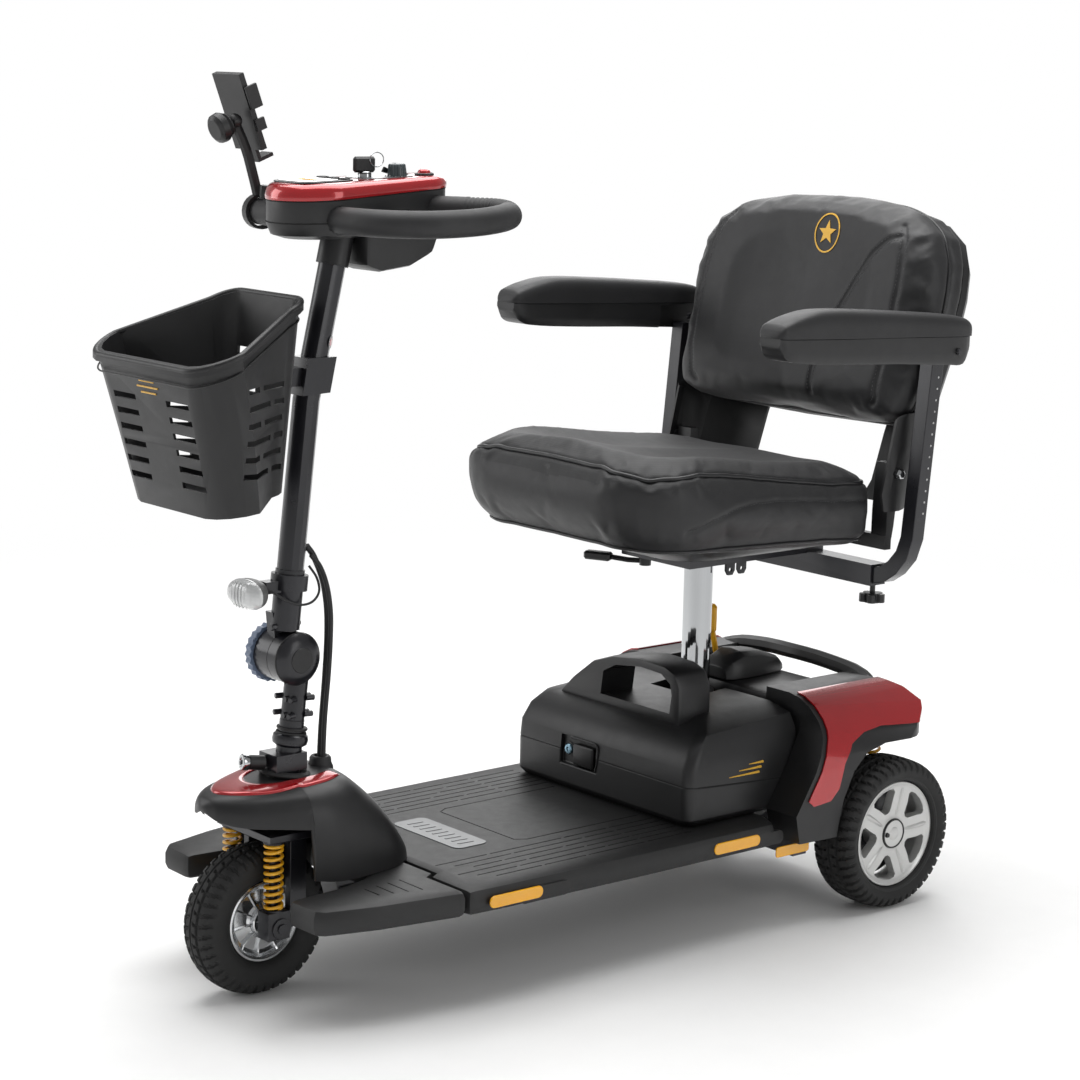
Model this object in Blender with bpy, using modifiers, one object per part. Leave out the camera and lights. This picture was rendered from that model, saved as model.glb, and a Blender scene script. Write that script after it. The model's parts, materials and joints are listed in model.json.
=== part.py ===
"""Three-wheeled mobility scooter, metres, +Z up, front toward -Y, left side +X."""
import math

import bmesh
import bpy
from mathutils import Matrix, Vector

# ---------------------------------------------------------------- driving dimensions
GAP = 0.0004
SHIFT_Y = 0.0689
REAR_R = 0.1143
REAR_AXLE = (0.42, 0.1143)
REAR_TYRE_X = (0.196, 0.2735)
FRONT_R = 0.1034
FRONT_AXLE = (-0.5564, 0.1034)
FRONT_HALF = 0.0325
STEER_POINT = (0.0, -0.501, 0.347)
STEER_SLOPE = 0.12
KNUCKLE = (0.0, -0.505, 0.4565)
TUBE_R = 0.0181
TUBE_BEND = (-0.48, 0.8)
TUBE_SLOPES = (0.103, 0.225)
DECK_Z = (0.1275, 0.166)
POST_Y = 0.245
POST_R = 0.022
HINGE = (0.412, 0.66)
LEAN = math.radians(13.0)
ARM_X = 0.286
ARM_HINGE = (0.452, 0.838)
CROSS = (0.415, 0.5035)
CUSHION_Z = 0.708

COLOURS = {
    "satin_black": ((0.03, 0.03, 0.032, 1), 0.45, 0.0),
    "deck_black": ((0.035, 0.035, 0.037, 1), 0.6, 0.0),
    "metal_black": ((0.03, 0.03, 0.033, 1), 0.35, 0.6),
    "vinyl": ((0.03, 0.03, 0.035, 1), 0.5, 0.0),
    "tyre": ((0.025, 0.025, 0.025, 1), 0.85, 0.0),
    "silver": ((0.62, 0.62, 0.6, 1), 0.35, 0.7),
    "chrome": ((0.8, 0.8, 0.8, 1), 0.08, 1.0),
    "red": ((0.5, 0.01, 0.015, 1), 0.15, 0.1),
    "yellow": ((0.85, 0.5, 0.02, 1), 0.4, 0.0),
    "knob_grey": ((0.4, 0.48, 0.56, 1), 0.5, 0.0),
    "lens": ((0.85, 0.87, 0.88, 1), 0.1, 0.0),
    "rubber": ((0.02, 0.02, 0.02, 1), 0.8, 0.0),
}

for old in list(bpy.data.objects):
    bpy.data.objects.remove(old, do_unlink=True)

SCENE = bpy.context.scene
PARTS = bpy.data.collections.new("mobility_scooter")
SCENE.collection.children.link(PARTS)


# ---------------------------------------------------------------- small builders
def get_material(name):
    found = bpy.data.materials.get(name)
    if found:
        return found
    colour, rough, metal = COLOURS[name]
    made = bpy.data.materials.new(name)
    made.use_nodes = True
    shader = made.node_tree.nodes["Principled BSDF"]
    shader.inputs["Base Color"].default_value = colour
    shader.inputs["Roughness"].default_value = rough
    shader.inputs["Metallic"].default_value = metal
    made.diffuse_color = colour
    return made


def to_mesh(bm):
    bmesh.ops.recalc_face_normals(bm, faces=bm.faces)
    mesh = bpy.data.meshes.new("m")
    bm.to_mesh(mesh)
    bm.free()
    return mesh


def evaluate(mesh, setup):
    """Run one modifier, described by setup, over a mesh and keep the outcome."""
    holder = bpy.data.objects.new("h", mesh)
    SCENE.collection.objects.link(holder)
    setup(holder)
    graph = bpy.context.evaluated_depsgraph_get()
    made = bpy.data.meshes.new_from_object(holder.evaluated_get(graph))
    bpy.data.objects.remove(holder, do_unlink=True)
    return made


def combine(kind, base, *others):
    for other in others:
        tool = bpy.data.objects.new("t", other)
        SCENE.collection.objects.link(tool)

        def setup(holder, tool=tool):
            mod = holder.modifiers.new("b", "BOOLEAN")
            mod.operation = kind
            mod.solver = "EXACT"
            mod.object = tool

        base = evaluate(base, setup)
        bpy.data.objects.remove(tool, do_unlink=True)
    bm = bmesh.new()
    bm.from_mesh(base)
    bmesh.ops.remove_doubles(bm, verts=bm.verts, dist=0.00002)
    bmesh.ops.dissolve_degenerate(bm, dist=0.00002, edges=bm.edges)
    return to_mesh(bm)


def cut(base, *others):
    return combine("DIFFERENCE", base, *others)


def join(base, *others):
    return combine("UNION", base, *others)


def bevel(mesh, width, segments=1, angle=40):
    def setup(holder):
        mod = holder.modifiers.new("v", "BEVEL")
        mod.width = width
        mod.segments = segments
        mod.limit_method = "ANGLE"
        mod.angle_limit = math.radians(angle)
    return evaluate(mesh, setup)


def box(x0, x1, y0, y1, z0, z1, turn=None):
    bm = bmesh.new()
    centre = Matrix.Translation(((x0 + x1) / 2, (y0 + y1) / 2, (z0 + z1) / 2))
    size = Matrix.Diagonal((x1 - x0, y1 - y0, z1 - z0, 1))
    bmesh.ops.create_cube(bm, size=1, matrix=centre @ (turn or Matrix()) @ size)
    return to_mesh(bm)


def rod(a, b, r, steps=20, r2=None):
    a = Vector(a)
    b = Vector(b)
    turn = (b - a).to_track_quat("Z", "Y").to_matrix().to_4x4()
    place = Matrix.Translation((a + b) / 2) @ turn
    bm = bmesh.new()
    bmesh.ops.create_cone(bm, cap_ends=True, segments=steps, radius1=r, matrix=place,
                          radius2=r if r2 is None else r2, depth=(b - a).length)
    return to_mesh(bm)


def ball(centre, r, u=16, v=10):
    bm = bmesh.new()
    bmesh.ops.create_uvsphere(bm, u_segments=u, v_segments=v, radius=r,
                              matrix=Matrix.Translation(centre))
    return to_mesh(bm)


def loft(rings, flat=False):
    """Skin closed sections that change shape, capped at both ends."""
    bm = bmesh.new()
    rows = [[bm.verts.new(p) for p in ring] for ring in rings]
    n = len(rows[0])
    for low, high in zip(rows, rows[1:]):
        for i in range(n):
            j = (i + 1) % n
            bm.faces.new((low[i], low[j], high[j], high[i]))
    bm.faces.new(rows[0][::-1])
    bm.faces.new(rows[-1])
    if not flat:
        bmesh.ops.triangulate(bm, faces=bm.faces)
    return to_mesh(bm)


def lathe(profile, centre, axis, steps=32, closed=False):
    """Turn a profile of (radius, height) pairs about an axis through centre."""
    bm = bmesh.new()
    verts = [bm.verts.new((max(r, 0.0), 0, h)) for r, h in profile]
    for a, b in zip(verts, verts[1:]):
        bm.edges.new((a, b))
    if closed:
        bm.edges.new((verts[-1], verts[0]))
    mesh = bpy.data.meshes.new("m")
    bm.to_mesh(mesh)
    bm.free()

    def setup(holder):
        mod = holder.modifiers.new("s", "SCREW")
        mod.axis = "Z"
        mod.steps = steps
        mod.render_steps = steps
        mod.use_merge_vertices = True
        mod.merge_threshold = 0.00005
    mesh = evaluate(mesh, setup)
    turn = Vector(axis).to_track_quat("Z", "Y").to_matrix().to_4x4()
    mesh.transform(Matrix.Translation(centre) @ turn)
    bm = bmesh.new()
    bm.from_mesh(mesh)
    bmesh.ops.remove_doubles(bm, verts=bm.verts, dist=0.00002)
    return to_mesh(bm)


def tube(points, radius, res=3, closed=False, smooth=False, span=8):
    """Round bar through points; smooth runs it as a Bezier with auto handles."""
    curve = bpy.data.curves.new("c", "CURVE")
    curve.dimensions = "3D"
    curve.bevel_depth = radius
    curve.bevel_resolution = res
    curve.use_fill_caps = not closed
    curve.resolution_u = span
    if smooth:
        line = curve.splines.new("BEZIER")
        line.bezier_points.add(len(points) - 1)
        for knot, p in zip(line.bezier_points, points):
            knot.co = p
            knot.handle_left_type = "AUTO"
            knot.handle_right_type = "AUTO"
    else:
        line = curve.splines.new("POLY")
        line.points.add(len(points) - 1)
        for knot, p in zip(line.points, points):
            knot.co = (*p, 1)
    line.use_cyclic_u = closed
    holder = bpy.data.objects.new("h", curve)
    SCENE.collection.objects.link(holder)
    graph = bpy.context.evaluated_depsgraph_get()
    mesh = bpy.data.meshes.new_from_object(holder.evaluated_get(graph))
    bpy.data.objects.remove(holder, do_unlink=True)
    bm = bmesh.new()
    bm.from_mesh(mesh)
    bmesh.ops.remove_doubles(bm, verts=bm.verts, dist=0.00001)
    return to_mesh(bm)


def prism(outline, place):
    """Closed slab: place(u, v, side) maps a flat outline to the two faces (side 0, 1)."""
    return loft([[place(u, v, s) for u, v in outline] for s in (0, 1)], True)


def side_slab(outline, x0, x1):
    """Slab whose outline lies in the Y-Z plane."""
    return prism(outline, lambda y, z, s: (x1 if s else x0, y, z))


def plan_slab(outline, z0, z1):
    """Slab whose outline lies in the X-Y plane."""
    return prism(outline, lambda x, y, s: (x, y, z1 if s else z0))


def round_rect(hx, y0, y1, r, n=4):
    """Rounded rectangle in plan, symmetric in X; r may be (front, rear)."""
    rf, rr = r if isinstance(r, tuple) else (r, r)
    out = []
    corners = ((hx - rf, y0 + rf, -90, rf), (hx - rr, y1 - rr, 0, rr),
               (-hx + rr, y1 - rr, 90, rr), (-hx + rf, y0 + rf, 180, rf))
    for cx, cy, start, rad in corners:
        for k in range(n + 1):
            a = math.radians(start + 90 * k / n)
            out.append((cx + rad * math.cos(a), cy + rad * math.sin(a)))
    return out


def mirror_half(half):
    """Complete an outline given for x >= 0, listed from the centre line round to it."""
    left = [(-x, y) for x, y in reversed(half) if x > 1e-9]
    return list(half) + left


def flip_x(mesh):
    made = mesh.copy()
    made.transform(Matrix.Diagonal((-1, 1, 1, 1)))
    bm = bmesh.new()
    bm.from_mesh(made)
    return to_mesh(bm)


def place_part(name, mesh, colour, origin=(0, 0, 0)):
    bm = bmesh.new()
    bm.from_mesh(mesh)
    bmesh.ops.remove_doubles(bm, verts=bm.verts, dist=0.00001)
    mesh = to_mesh(bm)
    mesh.name = name
    mesh.transform(Matrix.Translation(-Vector(origin)))
    mesh.materials.clear()
    mesh.materials.append(get_material(colour))
    made = bpy.data.objects.new(name, mesh)
    made.location = (origin[0], origin[1] + SHIFT_Y, origin[2])
    PARTS.objects.link(made)
    return made


def steer_y(z):
    return STEER_POINT[1] + (z - STEER_POINT[2]) * STEER_SLOPE


def tube_y(z):
    """The column is set back a little above its bend."""
    return TUBE_BEND[0] + (z - TUBE_BEND[1]) * TUBE_SLOPES[z > TUBE_BEND[1]]


# ---------------------------------------------------------------- wheels
def tyre_profile(outer, bead, half):
    return [(bead, -half * 0.72), (bead + 0.006, -half * 0.86),
            (bead + (outer - bead) * 0.45, -half), (outer - 0.011, -half * 0.9),
            (outer, -half * 0.45), (outer, half * 0.45), (outer - 0.011, half * 0.9),
            (bead + (outer - bead) * 0.45, half), (bead + 0.006, half * 0.86),
            (bead, half * 0.72)]


def rear_wheel(side):
    mid = (REAR_TYRE_X[0] + REAR_TYRE_X[1]) / 2
    half = (REAR_TYRE_X[1] - REAR_TYRE_X[0]) / 2
    hub = (mid, REAR_AXLE[0], REAR_AXLE[1])
    tyre = lathe(tyre_profile(REAR_R, 0.0818, half), hub, (1, 0, 0), 28, closed=True)
    rim = lathe([(0, 0.029), (0.026, 0.029), (0.0285, 0.026), (0.031, 0.0225),
                 (0.072, 0.026), (0.0775, 0.0278), (0.0806, 0.026), (0.0806, -0.026),
                 (0.0775, -0.028), (0.074, -0.026), (0.074, 0.012), (0.03, 0.008),
                 (0.026, -0.02), (0.0105, -0.02), (0.0105, 0.004), (0, 0.004)],
                hub, (1, 0, 0), 25)
    for k in range(5):
        a = math.radians(90 + 22 + 72 * k)
        wedge = []
        for r, w in ((0.034, -0.24), (0.034, 0.24), (0.068, 0.36), (0.068, -0.36)):
            wedge.append((hub[1] + r * math.cos(a + w), hub[2] + r * math.sin(a + w)))
        rim = cut(rim, side_slab(wedge, hub[0] - 0.01, hub[0] + 0.05))
    if side < 0:
        tyre = flip_x(tyre)
        rim = flip_x(rim)
    tag = "left" if side > 0 else "right"
    spot = (side * hub[0], hub[1], hub[2])
    place_part("rear_tyre_" + tag, tyre, "tyre", spot)
    place_part("rear_rim_" + tag, rim, "silver", spot)


rear_wheel(1)
rear_wheel(-1)

fy, fz = FRONT_AXLE
place_part("front_tyre", lathe(tyre_profile(FRONT_R, 0.0565, FRONT_HALF), (0, fy, fz),
                               (1, 0, 0), 28, closed=True), "tyre", (0, fy, fz))
half_rim = [(0.0075, 0.026), (0.02, 0.026), (0.022, 0.014), (0.045, 0.01), (0.051, 0.022),
            (0.0561, 0.0225)]
rim_loop = half_rim + [(r, -h) for r, h in reversed(half_rim)]
front_rim = lathe(rim_loop, (0, fy, fz), (1, 0, 0), 24, closed=True)
for k in range(5):
    spin = Matrix.Translation((0, fy, fz)) @ Matrix.Rotation(math.radians(72 * k), 4, "X")
    rib = box(-0.018, 0.018, -0.0012, 0.0012, 0.0205, 0.0525)
    rib.transform(spin)
    front_rim = join(front_rim, rib)
place_part("front_rim", front_rim, "silver", (0, fy, fz))

# ---------------------------------------------------------------- front fork and steering
SPRING_X = 0.049
SPRING_Y = -0.5605
SPRING_Z = (0.1295, 0.2185)
carrier = rod((-0.066, fy, fz), (0.066, fy, fz), 0.0068, 12)
for s in (1, -1):
    lug = box(*sorted((s * 0.0365, s * 0.062)), -0.577, -0.5425, 0.0885, 0.1265)
    cap = rod((s * 0.0355, fy, fz), (s * 0.064, fy, fz), 0.0145, 12)
    seat = rod((s * SPRING_X, SPRING_Y, 0.12), (s * SPRING_X, SPRING_Y, 0.1288), 0.0135, 12)
    pin = rod((s * SPRING_X, SPRING_Y, 0.121), (s * SPRING_X, SPRING_Y, 0.197), 0.0062, 12)
    carrier = join(carrier, lug, cap, seat, pin)
place_part("front_carrier", carrier, "metal_black", (0, fy, fz))


def coil(x, y, z0, z1, r, wire, turns, per=6):
    pts = []
    total = int(turns * per)
    low = z0 + wire
    high = z1 - wire
    for k in range(total + 1):
        t = k / total
        a = 2 * math.pi * turns * t
        ease = min(max((t * turns - 0.7) / (turns - 1.4), 0.0), 1.0)
        pts.append((x + r * math.cos(a), y + r * math.sin(a), low + (high - low) * ease))
    return tube(pts, wire, res=0)


for s, tag in ((1, "left"), (-1, "right")):
    spring = coil(s * SPRING_X, SPRING_Y, SPRING_Z[0], SPRING_Z[1], 0.0115, 0.0024, 8.0)
    place_part("front_spring_" + tag, spring, "yellow", (s * SPRING_X, SPRING_Y, SPRING_Z[1]))

crown = box(-0.064, 0.064, -0.576, -0.505, 0.2225, 0.2325)
for s in (1, -1):
    seat = rod((s * SPRING_X, SPRING_Y, 0.2192), (s * SPRING_X, SPRING_Y, 0.224), 0.0145, 12)
    blade = box(*sorted((s * 0.043, s * 0.0555)), -0.538, -0.512, 0.1, 0.224)
    crown = join(crown, seat, blade)
crown = join(crown, rod((0, steer_y(0.228), 0.228), (0, steer_y(0.2408), 0.2408), 0.026, 24))
place_part("fork_crown", crown, "metal_black")

stem_profile = [(0, 0.1), (0.0168, 0.1), (0.0168, 0.084), (0.0235, 0.079), (0.0245, 0.073),
                (0.0235, 0.0675), (0.0175, 0.0635), (0.0175, 0.0025), (0.0145, 0.0025),
                (0.0145, -0.0286), (0, -0.0286)]
AXIS = Vector((0, STEER_SLOPE, 1)).normalized()
base = Vector((0, steer_y(0.27), 0.27))
stem = lathe(stem_profile, base, AXIS, 24)
stem = join(stem, box(-0.021, 0.021, -0.537, -0.488, 0.3035, 0.327))
place_part("steering_stem", stem, "metal_black")

LOCK_DIR = Vector((-0.25, -1, 0.12)).normalized()
lock_root = Vector((-0.004, -0.5402, 0.3145))
lock = join(rod(lock_root, lock_root + LOCK_DIR * 0.026, 0.0095, 12),
            rod(lock_root + LOCK_DIR * 0.024, lock_root + LOCK_DIR * 0.033, 0.0105, 12))
place_part("lock_plunger", lock, "silver", tuple(lock_root))

# ---------------------------------------------------------------- tiller
ky, kz = KNUCKLE[1], KNUCKLE[2]
sleeve = rod(base + AXIS * 0.1004, base + AXIS * 0.172, 0.0163, 24)
disc = lathe([(0, 0.0325), (0.02, 0.0318), (0.029, 0.0285), (0.0352, 0.0225), (0.0352, 0.0004),
              (0, 0.0004)], (0, ky, kz), (1, 0, 0), 32)
lower = cut(sleeve, rod((-0.06, ky, kz), (0.0004, ky, kz), 0.0385, 32))
lower = join(lower, disc)
for z in (0.378, 0.4):
    for s in (1, -1):
        y = steer_y(z)
        bolt = rod((0.006, y + s * 0.012, z), (0.006, y + s * 0.0205, z), 0.0042, 8)
        lower = join(lower, bolt)
place_part("tiller_lower", lower, "metal_black")

upper = tube([(0, tube_y(z), z) for z in (0.508, 0.66, 0.77, 0.8, 0.83, 1.0)], TUBE_R, res=4)
collar = rod((0, tube_y(0.494), 0.494), (0, tube_y(0.575), 0.575), 0.0198, 24)
arm = side_slab([(ky - 0.02, kz + 0.012), (ky + 0.014, kz + 0.034), (ky + 0.012, kz + 0.062),
                 (ky - 0.0255, kz + 0.062)], -0.0175, -0.0008)
half = rod((-0.0315, ky, kz), (-0.0004, ky, kz), 0.0352, 32)
upper = join(upper, collar, arm, half)
upper = cut(upper, rod((0.0003, ky, kz), (0.05, ky, kz), 0.0385, 32))
clamp = side_slab([(-0.5, 0.808), (-0.456, 0.81), (-0.446, 0.857), (-0.492, 0.857)], -0.021, 0.021)
reach = box(-0.012, 0.012, -0.5385, -0.48, 0.82, 0.844)
hz = 0.5585
hy = tube_y(hz)
lean = Vector((0, TUBE_SLOPES[0], 1)).normalized() * 0.0105
ring = rod(Vector((0, hy, hz)) - lean, Vector((0, hy, hz)) + lean, 0.0252, 24)
upper = join(upper, clamp, reach, ring, box(-0.009, 0.009, -0.5475, hy - 0.018, hz - 0.012, hz + 0.004))
place_part("tiller_tube", upper, "metal_black", KNUCKLE)

knob_outline = []
for k in range(48):
    a = 2 * math.pi * k / 48
    r = 0.0385 if k % 2 else 0.0412
    knob_outline.append((ky + r * math.cos(a), kz + r * math.sin(a)))
knob = side_slab(knob_outline, -0.044, -0.0322)
knob = join(knob, rod((-0.056, ky, kz), (-0.043, ky, kz), 0.0155, 12))
for k in range(3):
    bar = box(-0.051, -0.043, -0.006, 0.006, 0.0, 0.0325)
    bar.transform(Matrix.Translation((0, ky, kz)) @ Matrix.Rotation(math.radians(120 * k), 4, "X"))
    knob = join(knob, bar)
place_part("tilt_knob", knob, "knob_grey", (0, ky, kz))

# ---------------------------------------------------------------- headlight
hz = 0.5585
hy = tube_y(hz)
LIGHT = Vector((0, -0.5502, 0.5505))
lamp_rings = []
for d, w, h, drop in ((0.0, 0.013, 0.009, 0), (0.005, 0.024, 0.014, 0.0), (0.013, 0.034, 0.0185, -0.001),
                      (0.021, 0.0365, 0.0195, -0.002)):
    lamp_rings.append([(LIGHT.x + w * math.cos(2 * math.pi * k / 20),
                        LIGHT.y - 0.0 - d, LIGHT.z + drop + h * math.sin(2 * math.pi * k / 20))
                       for k in range(20)])
for d, w, h in ((0.027, 0.0355, 0.0185), (0.034, 0.029, 0.014), (0.0365, 0.017, 0.007)):
    lamp_rings.append([(LIGHT.x + w * math.cos(2 * math.pi * k / 20), LIGHT.y - d,
                        LIGHT.z - 0.002 + h * math.sin(2 * math.pi * k / 20)) for k in range(20)])
place_part("headlight", loft(lamp_rings), "lens", tuple(LIGHT))

# ---------------------------------------------------------------- basket
BASKET = ((0.072, 0.121, -0.553, -0.679, 0.693, 0.672), (0.078, 0.136, -0.5455, -0.698, 0.806, 0.761),
          (0.09, 0.147, -0.5395, -0.725, 0.941, 0.866))


def basket_ring(row, inset, lift=0.0):
    """Rear half-width, front half-width, rear y, front y, rear z, front z."""
    wr, wf, yr, yf, zr, zf = row
    wr -= inset
    wf -= inset
    yr -= inset
    yf += inset
    rad_r = 0.03 - inset * 0.5
    rad_f = 0.045 - inset * 0.5
    out = []
    for cx, cy, start, rad in ((wf - rad_f, yf + rad_f, -90, rad_f), (wr - rad_r, yr - rad_r, 0, rad_r),
                               (-wr + rad_r, yr - rad_r, 90, rad_r), (-wf + rad_f, yf + rad_f, 180, rad_f)):
        for k in range(5):
            a = math.radians(start + 90 * k / 4)
            x = cx + rad * math.cos(a)
            y = cy + rad * math.sin(a)
            if (y - yr) / (yf - yr) > 0.7:
                y -= 0.012 * (1 - (x / wf) ** 2)
            out.append((x, y, zr + (zf - zr) * (y - yr) / (yf - yr) + lift))
    return out


shell = loft([basket_ring(row, 0.0) for row in BASKET])
hollow = [basket_ring(row, 0.0035) for row in BASKET]
hollow[0] = [(x, y, z + 0.0045) for x, y, z in hollow[0]]
hollow[-1] = [(x, y, z + 0.012) for x, y, z in hollow[-1]]
lip = [basket_ring(BASKET[-1], -0.0042, lift) for lift in (-0.009, 0.0006)]
basket = cut(join(shell, loft(lip)), loft(hollow))
slots = []
for row in range(6):
    z = 0.705 + 0.021 * row
    for s in (1, -1):
        slots.append(box(*sorted((s * 0.036, s * 0.088)), -0.76, -0.63, z, z + 0.008))
for row in range(6):
    z = 0.724 + 0.0215 * row
    parts = (0.03, 0.05) if row % 2 else (0.06, 0.022)
    y0 = -0.662
    for span in parts:
        slots.append(box(-0.2, 0.2, y0, y0 + span, z, z + 0.0075))
        y0 += span + 0.011
for row in range(3):
    z = 0.86 - 0.024 * row
    for s in (1, -1):
        slots.append(box(*sorted((s * 0.018, s * 0.06)), -0.575, -0.52, z, z + 0.009))
for slot in slots:
    basket = cut(basket, slot)
place_part("basket", basket, "satin_black", (0, -0.5395, 0.83))

# ---------------------------------------------------------------- console
def console_outline(grow, n=6):
    """Pear outline seen from above: broad rounded front, narrower rear."""
    rf = 0.066 + grow
    rr = 0.047 + grow
    out = []
    for k in range(-n, n + 1):
        a = math.radians(-90 + 90 * k / n * 0.98)
        out.append((rf * math.cos(a), -0.466 + rf * math.sin(a)))
    for k in range(-n, n + 1):
        a = math.radians(90 + 90 * k / n * 0.98)
        out.append((rr * math.cos(a), -0.313 + rr * math.sin(a)))
    return out


def console_z(y, low, high):
    return low + (high - low) * (y + 0.532) / 0.266


def console_ring(grow, low, high):
    return [(x, y, console_z(y, low, high)) for x, y in console_outline(grow)]


body = loft([console_ring(-0.022, 1.011, 1.02), console_ring(-0.006, 1.016, 1.03),
             console_ring(0.0, 1.03, 1.044), console_ring(0.0, 1.0605, 1.077)])
chin = bevel(side_slab([(-0.41, 0.975), (-0.385, 0.967), (-0.335, 0.973), (-0.298, 0.99), (-0.29, 1.012),
                        (-0.29, 1.04), (-0.41, 1.04)], -0.036, 0.036), 0.007, 2)
body = join(body, chin)
socket = rod((0, tube_y(0.976), 0.976), (0, tube_y(1.03), 1.03), 0.0218, 24)
body = join(body, socket)
body = cut(body, rod((0, tube_y(0.96), 0.96), (0, tube_y(1.0015), 1.0015), TUBE_R + GAP, 24))
HANDLE_R = 0.018


def handle_points(s):
    return [(s * 0.03, -0.472, 1.039), (s * 0.09, -0.474, 1.039), (s * 0.146, -0.461, 1.039),
            (s * 0.191, -0.418, 1.04), (s * 0.198, -0.35, 1.0425), (s * 0.177, -0.289, 1.047),
            (s * 0.13, -0.266, 1.0495), (s * 0.08, -0.288, 1.0495), (s * 0.02, -0.312, 1.0485)]


loops = [tube(handle_points(s), HANDLE_R, res=2, smooth=True, span=3) for s in (1, -1)]
bore = [tube(handle_points(s), HANDLE_R + GAP, res=2, smooth=True, span=3) for s in (1, -1)]
body = cut(body, bore[0], bore[1])
wing_outline = [(0.0, -0.011), (0.03, -0.0095), (0.06, -0.006), (0.105, -0.02), (0.117, -0.011),
                (0.115, 0.007), (0.095, 0.016), (0.06, 0.011), (0.03, 0.0095), (0.0, 0.011)]
PADDLE_Z = (1.0405, 1.0475)
body = cut(body, plan_slab([(-0.07, -0.418), (0.07, -0.418), (0.07, -0.354), (-0.07, -0.354)],
                           PADDLE_Z[0] - 0.002, PADDLE_Z[1] + 0.002))
pivot = rod((0, -0.386, PADDLE_Z[0] - 0.004), (0, -0.386, PADDLE_Z[1] + 0.004), 0.0036, 12)
body = join(body, pivot)
place_part("console_body", body, "satin_black", KNUCKLE)
for s, tag, loop in ((1, "left", loops[0]), (-1, "right", loops[1])):
    place_part("handlebar_" + tag, loop, "rubber", KNUCKLE)

cover = loft([console_ring(-0.001, 1.0609, 1.0774), console_ring(0.001, 1.066, 1.081),
              console_ring(-0.003, 1.079, 1.092), console_ring(-0.012, 1.083, 1.0945)])
CON_UP = Vector((0, -0.045, 1)).normalized()


def on_console(x, y, high=0.0):
    return Vector((x, y, console_z(y, 1.0832, 1.0948) + high))


horn_at = on_console(0.022, -0.307)
cover = cut(cover, rod(horn_at - CON_UP * 0.0045, horn_at + CON_UP * 0.01, 0.0102, 16))
place_part("console_cover", cover, "red", KNUCKLE)
dial_at = on_console(0.022, -0.352)
dial = lathe([(0, 0.0175), (0.0105, 0.0175), (0.0122, 0.016), (0.0132, 0.0), (0, 0.0)],
             dial_at, CON_UP, 24)
place_part("speed_dial", dial, "satin_black", tuple(dial_at))
key_at = on_console(0.0, -0.389)
key = lathe([(0, 0.008), (0.007, 0.008), (0.009, 0.006), (0.009, 0.0), (0, 0.0)], key_at, CON_UP, 20)
key = join(key, bevel(box(-0.0035, 0.0035, key_at.y - 0.019, key_at.y + 0.0165, key_at.z + 0.0065,
                          key_at.z + 0.0275), 0.003, 1))
place_part("ignition_key", key, "satin_black", tuple(key_at))
horn = lathe([(0, 0.0085), (0.005, 0.008), (0.0085, 0.0055), (0.0095, 0.0), (0, 0.0)],
             horn_at, CON_UP, 20)
place_part("horn_button", horn, "red", tuple(horn_at))

paddle = cut(plan_slab([(x, y - 0.386) for x, y in mirror_half(wing_outline)], *PADDLE_Z),
             rod((0, -0.386, 1.03), (0, -0.386, 1.06), 0.004, 12))
place_part("throttle_paddle", paddle, "satin_black", (0, -0.386, PADDLE_Z[0]))

# ---------------------------------------------------------------- phone holder
clip = Vector((-0.126, -0.4688, 1.039))
PH_TOP = Vector((-0.13, -0.508, 1.158))
phone_ring = lathe([(0.0238, 0.0075), (0.0238, -0.0075), (0.0196, -0.0075), (0.0196, 0.0075)],
                   clip, (1, -0.22, 0), 24, closed=True)
arm_pts = [clip + Vector((-0.0, -0.004, 0.0205)), clip + Vector((-0.001, -0.012, 0.05)),
           clip + Vector((-0.002, -0.022, 0.082)), PH_TOP]
phone_arm = join(phone_ring, tube([tuple(p) for p in arm_pts], 0.0072, res=2, smooth=True, span=3),
                 ball(tuple(PH_TOP), 0.0105, 12, 7))
place_part("phone_arm", phone_arm, "satin_black", tuple(clip))
PLATE_N = Vector((0.0, 0.93, 0.36)).normalized()
PLATE_U = Vector((1, 0, 0))
PLATE_V = PLATE_N.cross(PLATE_U) * -1
plate_c = PH_TOP + PLATE_N * 0.0165


def plate_point(u, v, d):
    return tuple(plate_c + PLATE_U * u + PLATE_V * v + PLATE_N * d)


def plate_box(u0, u1, v0, v1, d0, d1):
    return loft([[plate_point(u, v, d) for u, v in ((u0, v0), (u1, v0), (u1, v1), (u0, v1))]
                 for d in (d0, d1)])


plate = plate_box(-0.046, 0.018, -0.047, 0.059, 0.0, 0.0085)
plate = join(plate, plate_box(-0.026, 0.0, -0.065, -0.045, 0.001, 0.0065),
             plate_box(-0.026, 0.0, -0.065, -0.06, 0.001, 0.026),
             plate_box(0.0175, 0.022, -0.021, -0.005, 0.001, 0.016))
place_part("phone_plate", plate, "satin_black", tuple(PH_TOP))
jaw = plate_box(0.0184, 0.023, 0.009, 0.041, 0.001, 0.02)
place_part("phone_jaw", jaw, "satin_black", plate_point(0.0207, 0.025, 0.004))
nut_axis = PLATE_N * -1
nut = lathe([(0, 0.034), (0.014, 0.034), (0.0195, 0.03), (0.0205, 0.021), (0.016, 0.014),
             (0.016, 0.0115), (0, 0.0115)], PH_TOP, nut_axis, 18)
place_part("phone_nut", nut, "satin_black", tuple(PH_TOP))

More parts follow.
